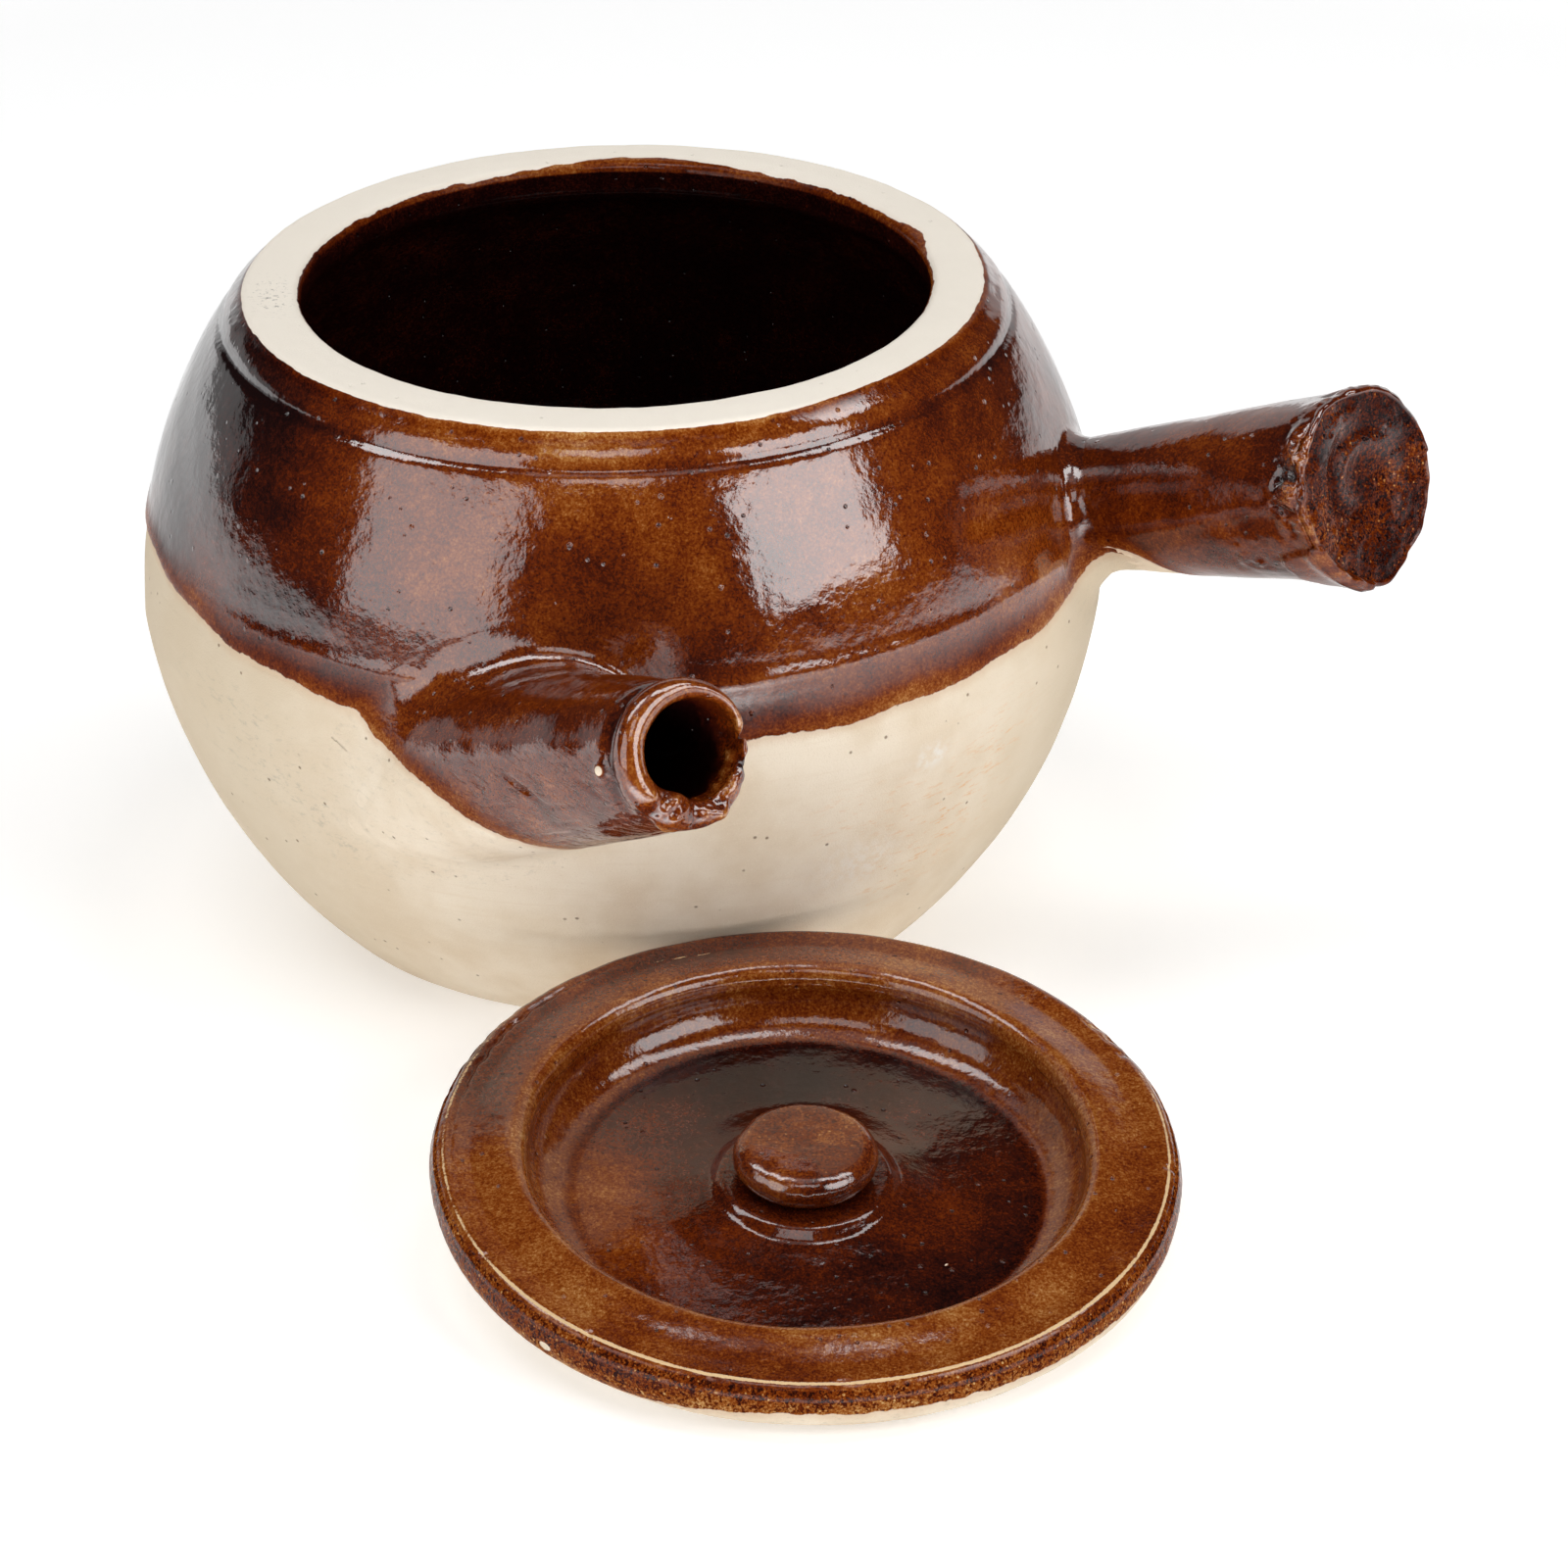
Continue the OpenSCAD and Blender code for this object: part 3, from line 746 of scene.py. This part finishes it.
LID_COLS, KNOB_COLS = 900, 360
EDGE_MM = 1.24  # mm in a degree on the lid's edge
GLINT_X, GLINT_Y = 21.1, -28.0  # painted glint in the dish: a speck of bare clay
UNDER_Z = -9.9


def revolve(name, o, cols, shape, marks_of):
    """Turned piece on the lid: shape and marks_of get angle, r, z and points."""
    A, R, Z, NR, NZ, _ = spin(o, full_turn(cols))
    c, s = np.cos(np.radians(A)), np.sin(np.radians(A))
    P0 = np.stack([R * c, R * s, Z], -1)
    off = shape(A, R, Z, P0)
    r = np.maximum(R + off * NR, 0)
    marks = {key: np.broadcast_to(v, R.shape) for key, v in marks_of(A, R, Z, P0).items()}
    obj = make_mesh(name, np.stack([r * c, r * s, Z + off * NZ], -1), grid_faces(len(o), cols), marks)
    obj.data.transform(LID_PLACE)
    return obj


def lid_outline():
    """From the middle of the underside, round the flange's edge, to the middle of the dish."""
    edge_x, lip_x = LID_R - FLANGE_ROUND, DISH_R + LIP
    under, dish = -FLANGE_T, -DISH_DEPTH
    reach = math.degrees(math.asin(FLANGE_T / 2 / FLANGE_ROUND))
    x = np.linspace(MOUND_R + 4.5, NECK_R - 1.0, 70)
    mound = 2.2 * step(MOUND_R + 4.5, 15.5, x) + 1.5 * step(19.0, 15.9, x)
    return resample(
        ([(0, -LID_DEPTH + 0.5), (30, -LID_DEPTH + 0.3), (41, -LID_DEPTH)], 3.0),
        (arc(42.6, -LID_DEPTH + 1.2, 1.2, -90, -30, 6), 0.5),
        ([(PLUG_R - 2, under - 1.0), (PLUG_R - 0.4, under - 0.25), (PLUG_R + 1.5, under)], 0.9),
        ([(edge_x + 2.0, under + 0.05)], 0.5),
        (arc(edge_x, under / 2, FLANGE_ROUND, -reach + 4, reach - 6, 30), 0.3),
        ([(edge_x + 3.35, -0.05), (edge_x + 2.7, 0.05), (edge_x + 1.5, 0.0)], 0.35),
        ([(edge_x - 1.5, -0.1), (edge_x - 4, 0.45), (lip_x + 3.0, 1.05),
          (lip_x + 0.6, FLANGE_RISE - 0.1)], 0.6),
        (arc(lip_x, FLANGE_RISE - LIP, LIP, 95, 176, 12), 0.4),
        ([(DISH_R - 0.3, -1.9)], 0.5),
        (arc(DISH_R - COVE, dish + COVE, COVE, -4, -86, 24), 0.6),
        ([(DISH_R - COVE - 1.5, dish - 0.05), (38, dish), (MOUND_R + 6, dish + 0.13)], 0.8),
        (zip(x, dish + 0.15 + mound), 0.4),
        ([(0, dish + MOUND_H)], 1.5))


def chips(A, R, Z):
    return (R > 68.6) * sum(deep * hump(turn_gap(A, at) * EDGE_MM, 0, wide) * hump(Z, height, 1.0)
                            for at, height, wide, deep in LID_CHIPS)


def lid_shape(A, R, Z, P0):
    under = (Z < UNDER_Z) & ~((R < DISH_R) & (Z > -DISH_DEPTH - 1))
    side = (R > 69.5) & ~under
    off = lumps(P0, (0.22, 26, 71), (0.10, 9, 72))
    crawl = lumps(P0, (0.04, 2.4, 73), (0.03, 1.2, 74)) - 0.05 * step(0.15, 0.5, noise(P0, 1.5, 81))
    off += side * crawl * step(-0.2, -1.2, Z)
    # the ragged fold along the back left edge
    ragged = noise(around(A, 2.0, 0), 1, 75)
    fold = near(A, 140, 24) * (Z > -2.5)
    off -= fold * 0.9 * hump(R, 68.2 + 0.4 * ragged, 0.45)
    off += fold * (0.12 + 0.15 * ragged) * step(68.4, 69.2, R)
    return off - 0.45 * chips(A, R, Z)


def lid_marks(A, R, Z, P0):
    upper = Z > -DISH_DEPTH - 1
    in_dish = (R < DISH_R) & upper
    flange = step(56.0, 58.5, R) * (Z > -2)
    dish_wall = (R < 57) * (R > 44) * upper
    dish_floor = step(47.5, 45.0, R) * upper
    rough_side = step(69.6, 70.6, R) * step(-0.3, -1.4, Z)
    # thickness of the glaze: flange, then the pool in the dish, then the dish's rounded lip
    thick = 0.43 + lumps(P0, (0.05, 8, 76)) + dish_wall * 0.02
    thick += flange * (
        lumps(P0, (0.12, 30, 77), (0.05, 11, 82)) + 0.20 * near(A, 118, 38) * hump(R, 65.0, 4.2)
        # painted light: the last term makes the flange's glaze thinner and lighter on the right, where
        # light falls
        + 0.14 * near(A, 55, 26) * hump(R, 66.5, 3.0) - 0.09 * near(A, -12, 30))
    pool = 0.82 + lumps(P0, (0.10, 22, 78)) - 0.46 * near(A, 175, 42) * hump(R, 38, 13)
    pool = pool - 0.22 * near(A, 335, 26) * hump(R, 27, 9) + 0.12 * near(A, 75, 40) * hump(R, 37, 12)
    thick = thick * (1 - dish_floor) + pool * dish_floor
    thick -= 0.18 * dish_floor * hump(R, 16.0, 5.0)
    thick = thick - 0.12 * hump(R, 54.4, 0.9) * (Z > -2.5) - 0.10 * hump(R, 56.3, 0.8) * (Z > 0)
    # bare clay under the flange and in the chips, and one speck of bare clay painted as a glint in the
    # dish
    ends = 5.8 + 2.6 * step(30, 52, np.abs(turn_gap(A, -80))) - 0.5 * near(A, -98, 12)
    below = Z + ends + lumps(P0, (0.22, 5, 79), (0.12, 1.6, 83))
    below = np.where((R > 60) & (Z < -3), below, GLAZED)
    below = np.where((Z < UNDER_Z) & ~in_dish, -3.0, below)
    # painted glint: a small pale speck of bare clay on the dish floor
    aside = P0[..., 0] - GLINT_X
    speck = hump(aside, 0, 0.9) * hump(P0[..., 1] - 0.35 * aside, GLINT_Y, 0.45) * in_dish
    gl = below - 16 * np.clip(chips(A, R, Z) - 0.45, 0, None) - 22 * speck
    # worn line on the edge, and a scratch
    front = 0.50 + 0.50 * step(-0.3, 0.6, -np.sin(np.radians(A)))
    chatter = noise(around(A, 3.4, 0), 1, 80)
    wear = hump(R, 69.55, 0.36) * (Z > -1.2) * front * (0.95 + 0.25 * chatter)
    wear *= (1 - 0.9 * near(A, 110, 30))
    wear += 0.25 * (Z > -1.5) * step(68.6, 69.4, R) * near(A, 145, 24)
    wear += 0.85 * hump(R, 64.7 + 0.115 * turn_gap(A, 98), 0.22) * near(A, 98, 8) * (Z > -1)
    return {
        "gl": gl,
        "thick": thick + 0.05 * rough_side,
        "wear": wear,
        "grain": 0.95 * rough_side + 0.22 * flange + 0.15 * dish_wall,
        "satin": 0.10 * flange,
        "dull": 0.45 * flange + 0.70 * rough_side + 0.35 * dish_wall + 0.40 * dish_floor,
        # painted shade: the bare clay under the flange is made greyer and darker
        "grey": 0.7 * step(0.4, -0.8, below),
    }


def build_lid():
    return revolve("lid_look", lid_outline(), LID_COLS, lid_shape, lid_marks)


def build_knob():
    low, half, crown = KNOB_TOP - KNOB_T, KNOB_T / 2, KNOB_TOP + 0.15
    foot = -DISH_DEPTH + MOUND_H
    outline = [(NECK_R + 0.9, foot - 0.8), (NECK_R + 0.2, foot - 0.1), (NECK_R, low + 0.2),
               (NECK_R + 1.4, low + 0.05)]
    outline += arc(KNOB_R - half, low + half, half, -88, 78, 26)
    outline += [(KNOB_R - half - 0.6, KNOB_TOP + 0.05), (6.0, KNOB_TOP + 0.12), (0, crown)]

    def relief(p):
        return lumps(p, (0.25, 11, 91), (0.10, 4, 92), (0.05, 1.5, 93))

    def shape(A, R, Z, P0):
        """The relief dies out at the middle, where all columns meet."""
        middle = relief(np.array([[0.0, 0.0, crown]]))[0]
        return middle + (relief(P0) - middle) * step(0.3, 3.0, R)

    def marks(A, R, Z, P0):
        top = Z > KNOB_TOP - 1
        flat = step(12.2, 10.2, R) * top
        thick = 0.52 + lumps(P0, (0.12, 5, 94), (0.08, 2.2, 96)) - 0.03 * flat
        thick += 0.22 * step(low + 1.6, low - 0.2, Z)
        line = hump(R, 11.2, 0.35) * top * step(-0.1, 0.5, np.sin(np.radians(A)))
        # glossy wedge at the left front of the flat top
        X, Y = P0[..., 0], P0[..., 1]
        wedge = step(0.6, -0.6, Y + 5.6 + 0.59 * X + 0.9 * noise(P0, 4, 95)) * step(1.2, -1.4, X)
        matt = flat * (1 - flat * wedge)
        return {"gl": GLAZED, "thick": thick - 0.1 * line, "wear": 0.25 * line,
                "grain": 0.3 + 0.4 * matt, "satin": matt, "dull": 0.5 * matt}

    return revolve("lid_knob_look", resample((outline, 0.4)), KNOB_COLS, shape, marks)


# ------------ materials
class Nodes:
    """Short calls for building one shader."""

    def __init__(self, name):
        self.mat = bpy.data.materials.new(name)
        self.mat.use_nodes = True
        self.tree = self.mat.node_tree
        self.tree.nodes.clear()

    def put(self, socket, value):
        if isinstance(value, bpy.types.NodeSocket):
            self.tree.links.new(value, socket)
        else:
            socket.default_value = value

    def node(self, kind, inputs=None, **props):
        n = self.tree.nodes.new(kind)
        for key, value in props.items():
            setattr(n, key, value)
        for key, value in (inputs or {}).items():
            self.put(n.inputs[key], value)
        return n

    def maths(self, op, *values):
        """Joins two or more values, one after the other."""
        total = values[0]
        for value in values[1:]:
            total = self.node("ShaderNodeMath", {0: total, 1: value}, operation=op).outputs[0]
        return total

    plus = partialmethod(maths, "ADD")
    minus = partialmethod(maths, "SUBTRACT")
    times = partialmethod(maths, "MULTIPLY")

    def ramp(self, x, lo, hi, to_lo=0.0, to_hi=1.0):
        n = self.node("ShaderNodeMapRange", dict(enumerate((x, lo, hi, to_lo, to_hi))),
                      interpolation_type="SMOOTHSTEP")
        return n.outputs[0]

    def mark(self, name):
        return self.node("ShaderNodeAttribute", attribute_name=name).outputs["Fac"]

    def vector(self, op, *values):
        return self.node("ShaderNodeVectorMath", dict(enumerate(values)), operation=op)

    def noise(self, vec, scale, detail=2.0, rough=0.5):
        settings = {"Vector": vec, "Scale": scale, "Detail": detail, "Roughness": rough}
        return self.node("ShaderNodeTexNoise", settings).outputs["Fac"]

    def centred(self, *settings):
        return self.minus(self.noise(*settings), 0.5)

    def streaks(self, vec, stretch, detail, rough):
        return self.noise(self.vector("MULTIPLY", vec, stretch).outputs[0], 1.0, detail, rough)

    def dots(self, vec, scale, wide, core, some, all_of):
        """Scattered dots that fade from core to wide; some and all_of say how many points have one."""
        n = self.node("ShaderNodeTexVoronoi", {"Vector": vec, "Scale": scale})
        chance = self.node("ShaderNodeSeparateColor", {0: n.outputs["Color"]}).outputs[0]
        return self.times(self.ramp(n.outputs["Distance"], wide, core), self.ramp(chance, some, all_of))

    def colours(self, x, stops):
        n = self.node("ShaderNodeValToRGB", {0: x})
        e = n.color_ramp.elements
        while len(e) < len(stops):
            e.new(0.5)
        for el, (pos, c) in zip(e, stops):
            el.position = pos
            el.color = (*c, 1)
        return n.outputs[0]

    def mix(self, a, b, fac):
        a, b = ((*v, 1) if isinstance(v, tuple) else v for v in (a, b))
        return self.node("ShaderNodeMix", {"Factor": fac, 6: a, 7: b}, data_type="RGBA").outputs[2]

    def blend(self, a, b, fac):
        return self.node("ShaderNodeMix", {"Factor": fac, 2: a, 3: b}, data_type="FLOAT").outputs[0]

    def finish(self, surface):
        self.node("ShaderNodeOutputMaterial", {0: surface.outputs[0]})
        return self.mat


# colour of the glaze from thin to pooled
GLAZE_STOPS = [(0.0, (0.50, 0.30, 0.12)), (0.18, (0.33, 0.125, 0.028)), (0.36, (0.205, 0.045, 0.0045)),
               (0.52, (0.120, 0.0180, 0.0018)), (0.70, (0.055, 0.0072, 0.0018)),
               (0.86, (0.020, 0.0032, 0.0020)), (1.0, (0.0075, 0.0012, 0.0012))]
SATIN_GLAZE, WORN_GLAZE = (0.26, 0.13, 0.07), (0.66, 0.45, 0.23)
CLAY_DEEP, CLAY_PALE, CLAY_STREAK = (0.70, 0.575, 0.425), (0.80, 0.70, 0.565), (0.74, 0.62, 0.47)
# the third of these clay colours is the painted shade on the pot's sides
CLAY_DUST, CLAY_GRIT, CLAY_SIDE_SHADE = (0.86, 0.79, 0.67), (0.60, 0.49, 0.36), (0.60, 0.50, 0.365)
# the second of these colours serves scuffs on the pot and painted shade under the lid's flange
RUST, SCUFF_AND_SHADE, CHALK = (0.72, 0.40, 0.17), (0.36, 0.33, 0.26), (0.80, 0.76, 0.70)
FLECK, RIM_CLAY, SOOT = (0.20, 0.12, 0.07), (0.90, 0.84, 0.75), (0.05, 0.042, 0.036)
GLAZE_FRINGE = (0.56, 0.36, 0.22)
CLAY_ROUGH, WORN_ROUGH, GLAZE_IOR, BUMP_M = 0.88, 0.7, 1.85, 0.001


def pottery(name, gloss, seed):
    """Glaze over bare buff clay. The marks on the mesh say where the glaze ends and how thick it is."""
    k = Nodes(name)
    coord = k.node("ShaderNodeTexCoord").outputs["Object"]
    mm = k.vector("MULTIPLY_ADD", coord, (1000, 1000, 1000),
                  (seed * 37.0, seed * 11.0, seed * 23.0)).outputs[0]
    grain, satin, pale = k.mark("grain"), k.mark("satin"), k.mark("pale")

    # ---- edge of the glaze
    edge = k.plus(k.mark("gl"), k.times(k.centred(mm, 0.32, 3.0, 0.6), 2.0))
    mask = k.ramp(edge, -0.16, 0.16)
    off_edge = k.ramp(edge, 0.0, 5.5)

    # ---- glaze: its thickness gives its colour
    speck = k.centred(mm, 1.9, 2.0, 0.7)
    gritty = k.dots(mm, 0.95, 0.34, 0.16, 0.66, 0.70)
    crawl = k.times(k.ramp(k.noise(mm, 0.95, 3.0, 0.7), 0.50, 0.60), k.ramp(grain, 0.5, 0.95))
    pinhole = k.dots(mm, 0.30, 0.16, 0.05, 0.62, 0.64)
    blister = k.dots(mm, 0.17, 0.11, 0.02, 0.60, 0.62)
    thick = k.plus(k.mark("thick"), k.times(k.centred(mm, 0.11, 3.0, 0.55), 0.42),
                   k.times(k.centred(mm, 0.75, 3.0, 0.65), 0.46), k.times(speck, 0.75),
                   k.times(speck, grain, 0.42), k.times(crawl, 0.26), k.times(pinhole, 0.25))
    thick = k.minus(thick, k.blend(0.20, 0.0, off_edge), k.times(gritty, grain, 0.34),
                    k.times(blister, 0.10))
    worn = k.plus(k.mark("wear"), k.times(k.centred(mm, 1.3, 3.0, 0.7), 0.9))
    worn = k.ramp(worn, 0.42, 0.66)
    glaze = k.mix(k.colours(thick, GLAZE_STOPS), SATIN_GLAZE, k.times(satin, 0.12))
    glaze = k.mix(glaze, WORN_GLAZE, worn)

    # ---- bare clay, in layers
    streak = k.streaks(mm, (0.035, 0.035, 0.9), 3.0, 0.6)
    dust = k.noise(mm, 3.2, 2.0, 0.6)
    rusty = k.ramp(k.streaks(mm, (0.20, 0.20, 0.95), 4.0, 0.75), 0.54, 0.66)
    grey_streaks = k.ramp(k.streaks(mm, (0.5, 0.16, 0.8), 4.0, 0.75), 0.52, 0.72)
    chalky = k.ramp(k.noise(mm, 0.5, 3.0, 0.6), 0.40, 0.62)
    sooty = k.ramp(k.noise(mm, 0.9, 4.0, 0.75), 0.57, 0.63)
    fleck = k.dots(mm, 0.42, 0.20, 0.08, 0.93, 0.95)
    fringe = k.times(k.ramp(edge, -2.6, -0.1), k.blend(0.40, 0.08, pale))
    clay = k.mix(CLAY_DEEP, CLAY_PALE, k.ramp(k.noise(mm, 0.045, 3.0, 0.6), 0.30, 0.70))
    for colour, amount in (
            (CLAY_STREAK, k.times(k.ramp(streak, 0.52, 0.72), 0.45)),
            (CLAY_DUST, k.times(k.ramp(dust, 0.56, 0.75), 0.35)),
            (CLAY_GRIT, k.times(k.ramp(dust, 0.42, 0.28), 0.30)),
            # painted shade: the clay on the pot's sides is made darker and browner
            (CLAY_SIDE_SHADE, k.times(k.mark("side_shade"), 0.75)),
            (RUST, k.times(k.mark("rust"), rusty, 0.75)),
            # the grey mark: scuffs and greyer clay on the pot, and painted shade on the bare clay under
            # the lid's flange
            (SCUFF_AND_SHADE, k.times(k.mark("grey"), grey_streaks, 0.55)),
            (CHALK, k.times(k.mark("white"), chalky)),
            (FLECK, k.times(fleck, 0.75)),
            (RIM_CLAY, k.times(pale, 0.85)),
            (SOOT, k.times(k.mark("soot"), sooty)),
            (GLAZE_FRINGE, fringe)):
        clay = k.mix(clay, colour, amount)

    # ---- gloss
    shine = k.plus(gloss, k.times(k.noise(mm, 0.35, 3.0, 0.6), 0.05), k.times(satin, 0.24),
                   k.times(grain, 0.06), k.blend(0.22, 0.0, off_edge))
    rough = k.blend(CLAY_ROUGH, k.blend(shine, WORN_ROUGH, worn), mask)
    sheen = k.times(k.ramp(edge, 2.0, 11.0, 0.03, 0.5), k.minus(1.0, k.mark("dull")))

    # ---- fine relief, in mm
    scratch = k.ramp(k.streaks(mm, (0.22, 0.22, 1.6), 3.0, 0.7), 0.54, 0.74)
    grainy = k.times(speck, k.plus(0.018, k.times(grain, 0.03)), mask)
    h = k.plus(k.times(k.noise(mm, 0.45), 0.085), k.times(k.noise(mm, 0.15), 0.14), grainy,
               k.times(blister, 0.35, mask))
    h = k.minus(h, k.times(pinhole, 0.30, mask), k.times(crawl, 0.07, mask),
                k.times(k.mark("wipe"), scratch, 0.22))
    clay_h = k.plus(k.times(dust, 0.10), k.times(streak, 0.10))
    h = k.minus(k.blend(clay_h, h, mask), k.times(fleck, k.minus(1.0, mask), 0.20))
    bump = k.node("ShaderNodeBump", {"Strength": 1.0, "Distance": BUMP_M, "Height": h})

    return k.finish(k.node("ShaderNodeBsdfPrincipled", {
        "Base Color": k.mix(clay, glaze, mask), "Roughness": rough, "IOR": GLAZE_IOR,
        "Specular IOR Level": k.blend(0.08, sheen, mask), "Normal": bump.outputs[0]}))


# ------------ the pieces
body_mat = pottery("thrown_body", 0.04, 1)
limb_mat = pottery("dark_limbs", 0.05, 1)
collar_mat = pottery("luting", 0.04, 1)
lid_mat = pottery("lid_glaze", 0.04, 4)
knob_mat = pottery("knob_glaze", 0.06, 5)

PIECES = [
    (build_body(), "pot", "pot_body", "bare_clay", body_mat),
    (build_spout(), "pot", "spout", "dark_glaze", limb_mat),
    (build_handle(), "pot", "handle", "dark_glaze", limb_mat),
    (build_collar("spout_collar_look", SPOUT, spout_r,
                  lambda f: 4.0 + 5.0 * lift(f), lambda f: 4.5 + 4.5 * lift(f),
                  spout_edge, spout_skin, spout_thick, 101),
     "pot", "spout_collar", "brown_glaze", collar_mat),
    (build_collar("handle_collar_look", HANDLE, handle_r,
                  lambda f: 8.0 - 2.0 * np.sin(np.radians(f)),
                  lambda f: 8.0 - 3.0 * np.sin(np.radians(f)),
                  handle_edge, handle_skin, handle_thick, 111),
     "pot", "handle_collar", "brown_glaze", collar_mat),
    (build_lid(), "lid", "lid", "brown_glaze", lid_mat),
    (build_knob(), "lid", "lid_knob", "worn_glaze", knob_mat),
]
for obj, body, node, slot, mat in PIECES:
    obj.data.materials.append(mat)
    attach(obj, body)
    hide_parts(node)


# ------------ stage, light, camera
FLOOR_CORNERS, FLOOR_Z = [(-6, -6, 0), (6, -6, 0), (6, 6, 0), (-6, 6, 0)], -0.0002
FLOOR_GLOW, FAR_GLOW = 0.34, 0.92
FRONT_GLOW, FRONT_FROM, FRONT_TO = 3.8, -0.22, -0.44
FLOOR_NEAR, FLOOR_FAR = (0.90, 0.90, 0.90), (0.60, 0.60, 0.60)
WORLD_GREY = (0.02, 0.02, 0.02, 1)
AIM = Vector((0.02, -0.05, 0.07))
# name, azimuth, elevation, distance, width, height, radiance
LIGHTS = [
    ("left_box", -50, 22, 1.3, 0.90, 0.85, 2.1),
    ("right_box", 52, 26, 1.3, 0.75, 0.70, 4.5),
    ("left_top", -90, 64, 1.8, 0.45, 1.3, 5.4),
    ("right_top", 90, 64, 1.8, 0.45, 1.3, 5.4),
    ("front_top", -4, 52, 1.8, 0.8, 0.5, 2.0),
    ("top_box", 0, 86, 1.8, 1.3, 0.9, 0.5),
    ("back_card", 180, 16, 2.4, 3.2, 1.9, 0.65),
    ("left_card", -136, 4, 2.0, 1.9, 0.5, 0.4),
]
# the camera fitted to the photograph: place in mm, degrees, lens in mm on a 36 mm sensor
CAMERA_AT, CAMERA_PITCH, CAMERA_ROLL = Vector((33.12, -1210.52, 636.59)), 26.942, -0.778
LENS, SENSOR = 146.25, 36.0


def floor_material():
    """Plain white paper that glows a little, more in front of the pot and far away."""
    k = Nodes("pale_floor")
    coord = k.node("ShaderNodeTexCoord").outputs["Object"]
    x, y, _ = k.node("ShaderNodeSeparateXYZ", {0: coord}).outputs
    away = k.vector("LENGTH", coord).outputs["Value"]
    ahead = k.times(k.ramp(y, FRONT_FROM, FRONT_TO, 0.0, FRONT_GLOW),
                    k.ramp(k.maths("ABSOLUTE", x, 0.0), 0.12, 0.36, 1.0, 0.0))
    glow = k.times(k.plus(FLOOR_GLOW, ahead), k.ramp(away, 0.62, 1.0, 1.0, 0.0))
    return k.finish(k.node("ShaderNodeBsdfPrincipled", {
        "Base Color": k.mix(FLOOR_NEAR, FLOOR_FAR, k.ramp(away, 0.65, 1.4)),
        "Roughness": 0.9, "Specular IOR Level": 0.2, "Emission Color": (1, 1, 1, 1),
        "Emission Strength": k.plus(glow, k.ramp(away, 0.55, 1.0, 0.0, FAR_GLOW))}))


def softbox(name, azimuth, elevation, distance, wide, high, radiance):
    """Area light that faces the pot."""
    a, e = math.radians(azimuth), math.radians(elevation)
    data = bpy.data.lights.new(name, "AREA")
    data.shape = "RECTANGLE"
    data.size, data.size_y = wide, high
    data.energy = radiance * math.pi * wide * high
    obj = put_in_scene(name, data)
    d = Vector((math.cos(e) * math.sin(a), -math.cos(e) * math.cos(a), math.sin(e)))
    obj.location = AIM + d * distance
    obj.rotation_euler = d.to_track_quat("Z", "Y").to_euler()


floor_mesh = bpy.data.meshes.new("floor")
floor_mesh.from_pydata(FLOOR_CORNERS, [], [(0, 1, 2, 3)])
floor = put_in_scene("floor", floor_mesh)
floor.location.z = FLOOR_Z
floor_mesh.materials.append(floor_material())

for light in LIGHTS:
    softbox(*light)

world = bpy.data.worlds.new("studio")
scene.world = world
world.use_nodes = True
world.node_tree.nodes["Background"].inputs["Color"].default_value = WORLD_GREY

cam_data = bpy.data.cameras.new("camera")
cam_data.sensor_width = SENSOR
cam_data.lens = LENS
cam = put_in_scene("camera", cam_data)
cam.matrix_world = (Matrix.Translation(CAMERA_AT * MM)
                    @ Matrix.Rotation(math.radians(90 - CAMERA_PITCH), 4, "X")
                    @ Matrix.Rotation(math.radians(CAMERA_ROLL), 4, "Z"))
scene.camera = cam
scene.view_settings.view_transform = "Standard"
scene.view_settings.look = "None"
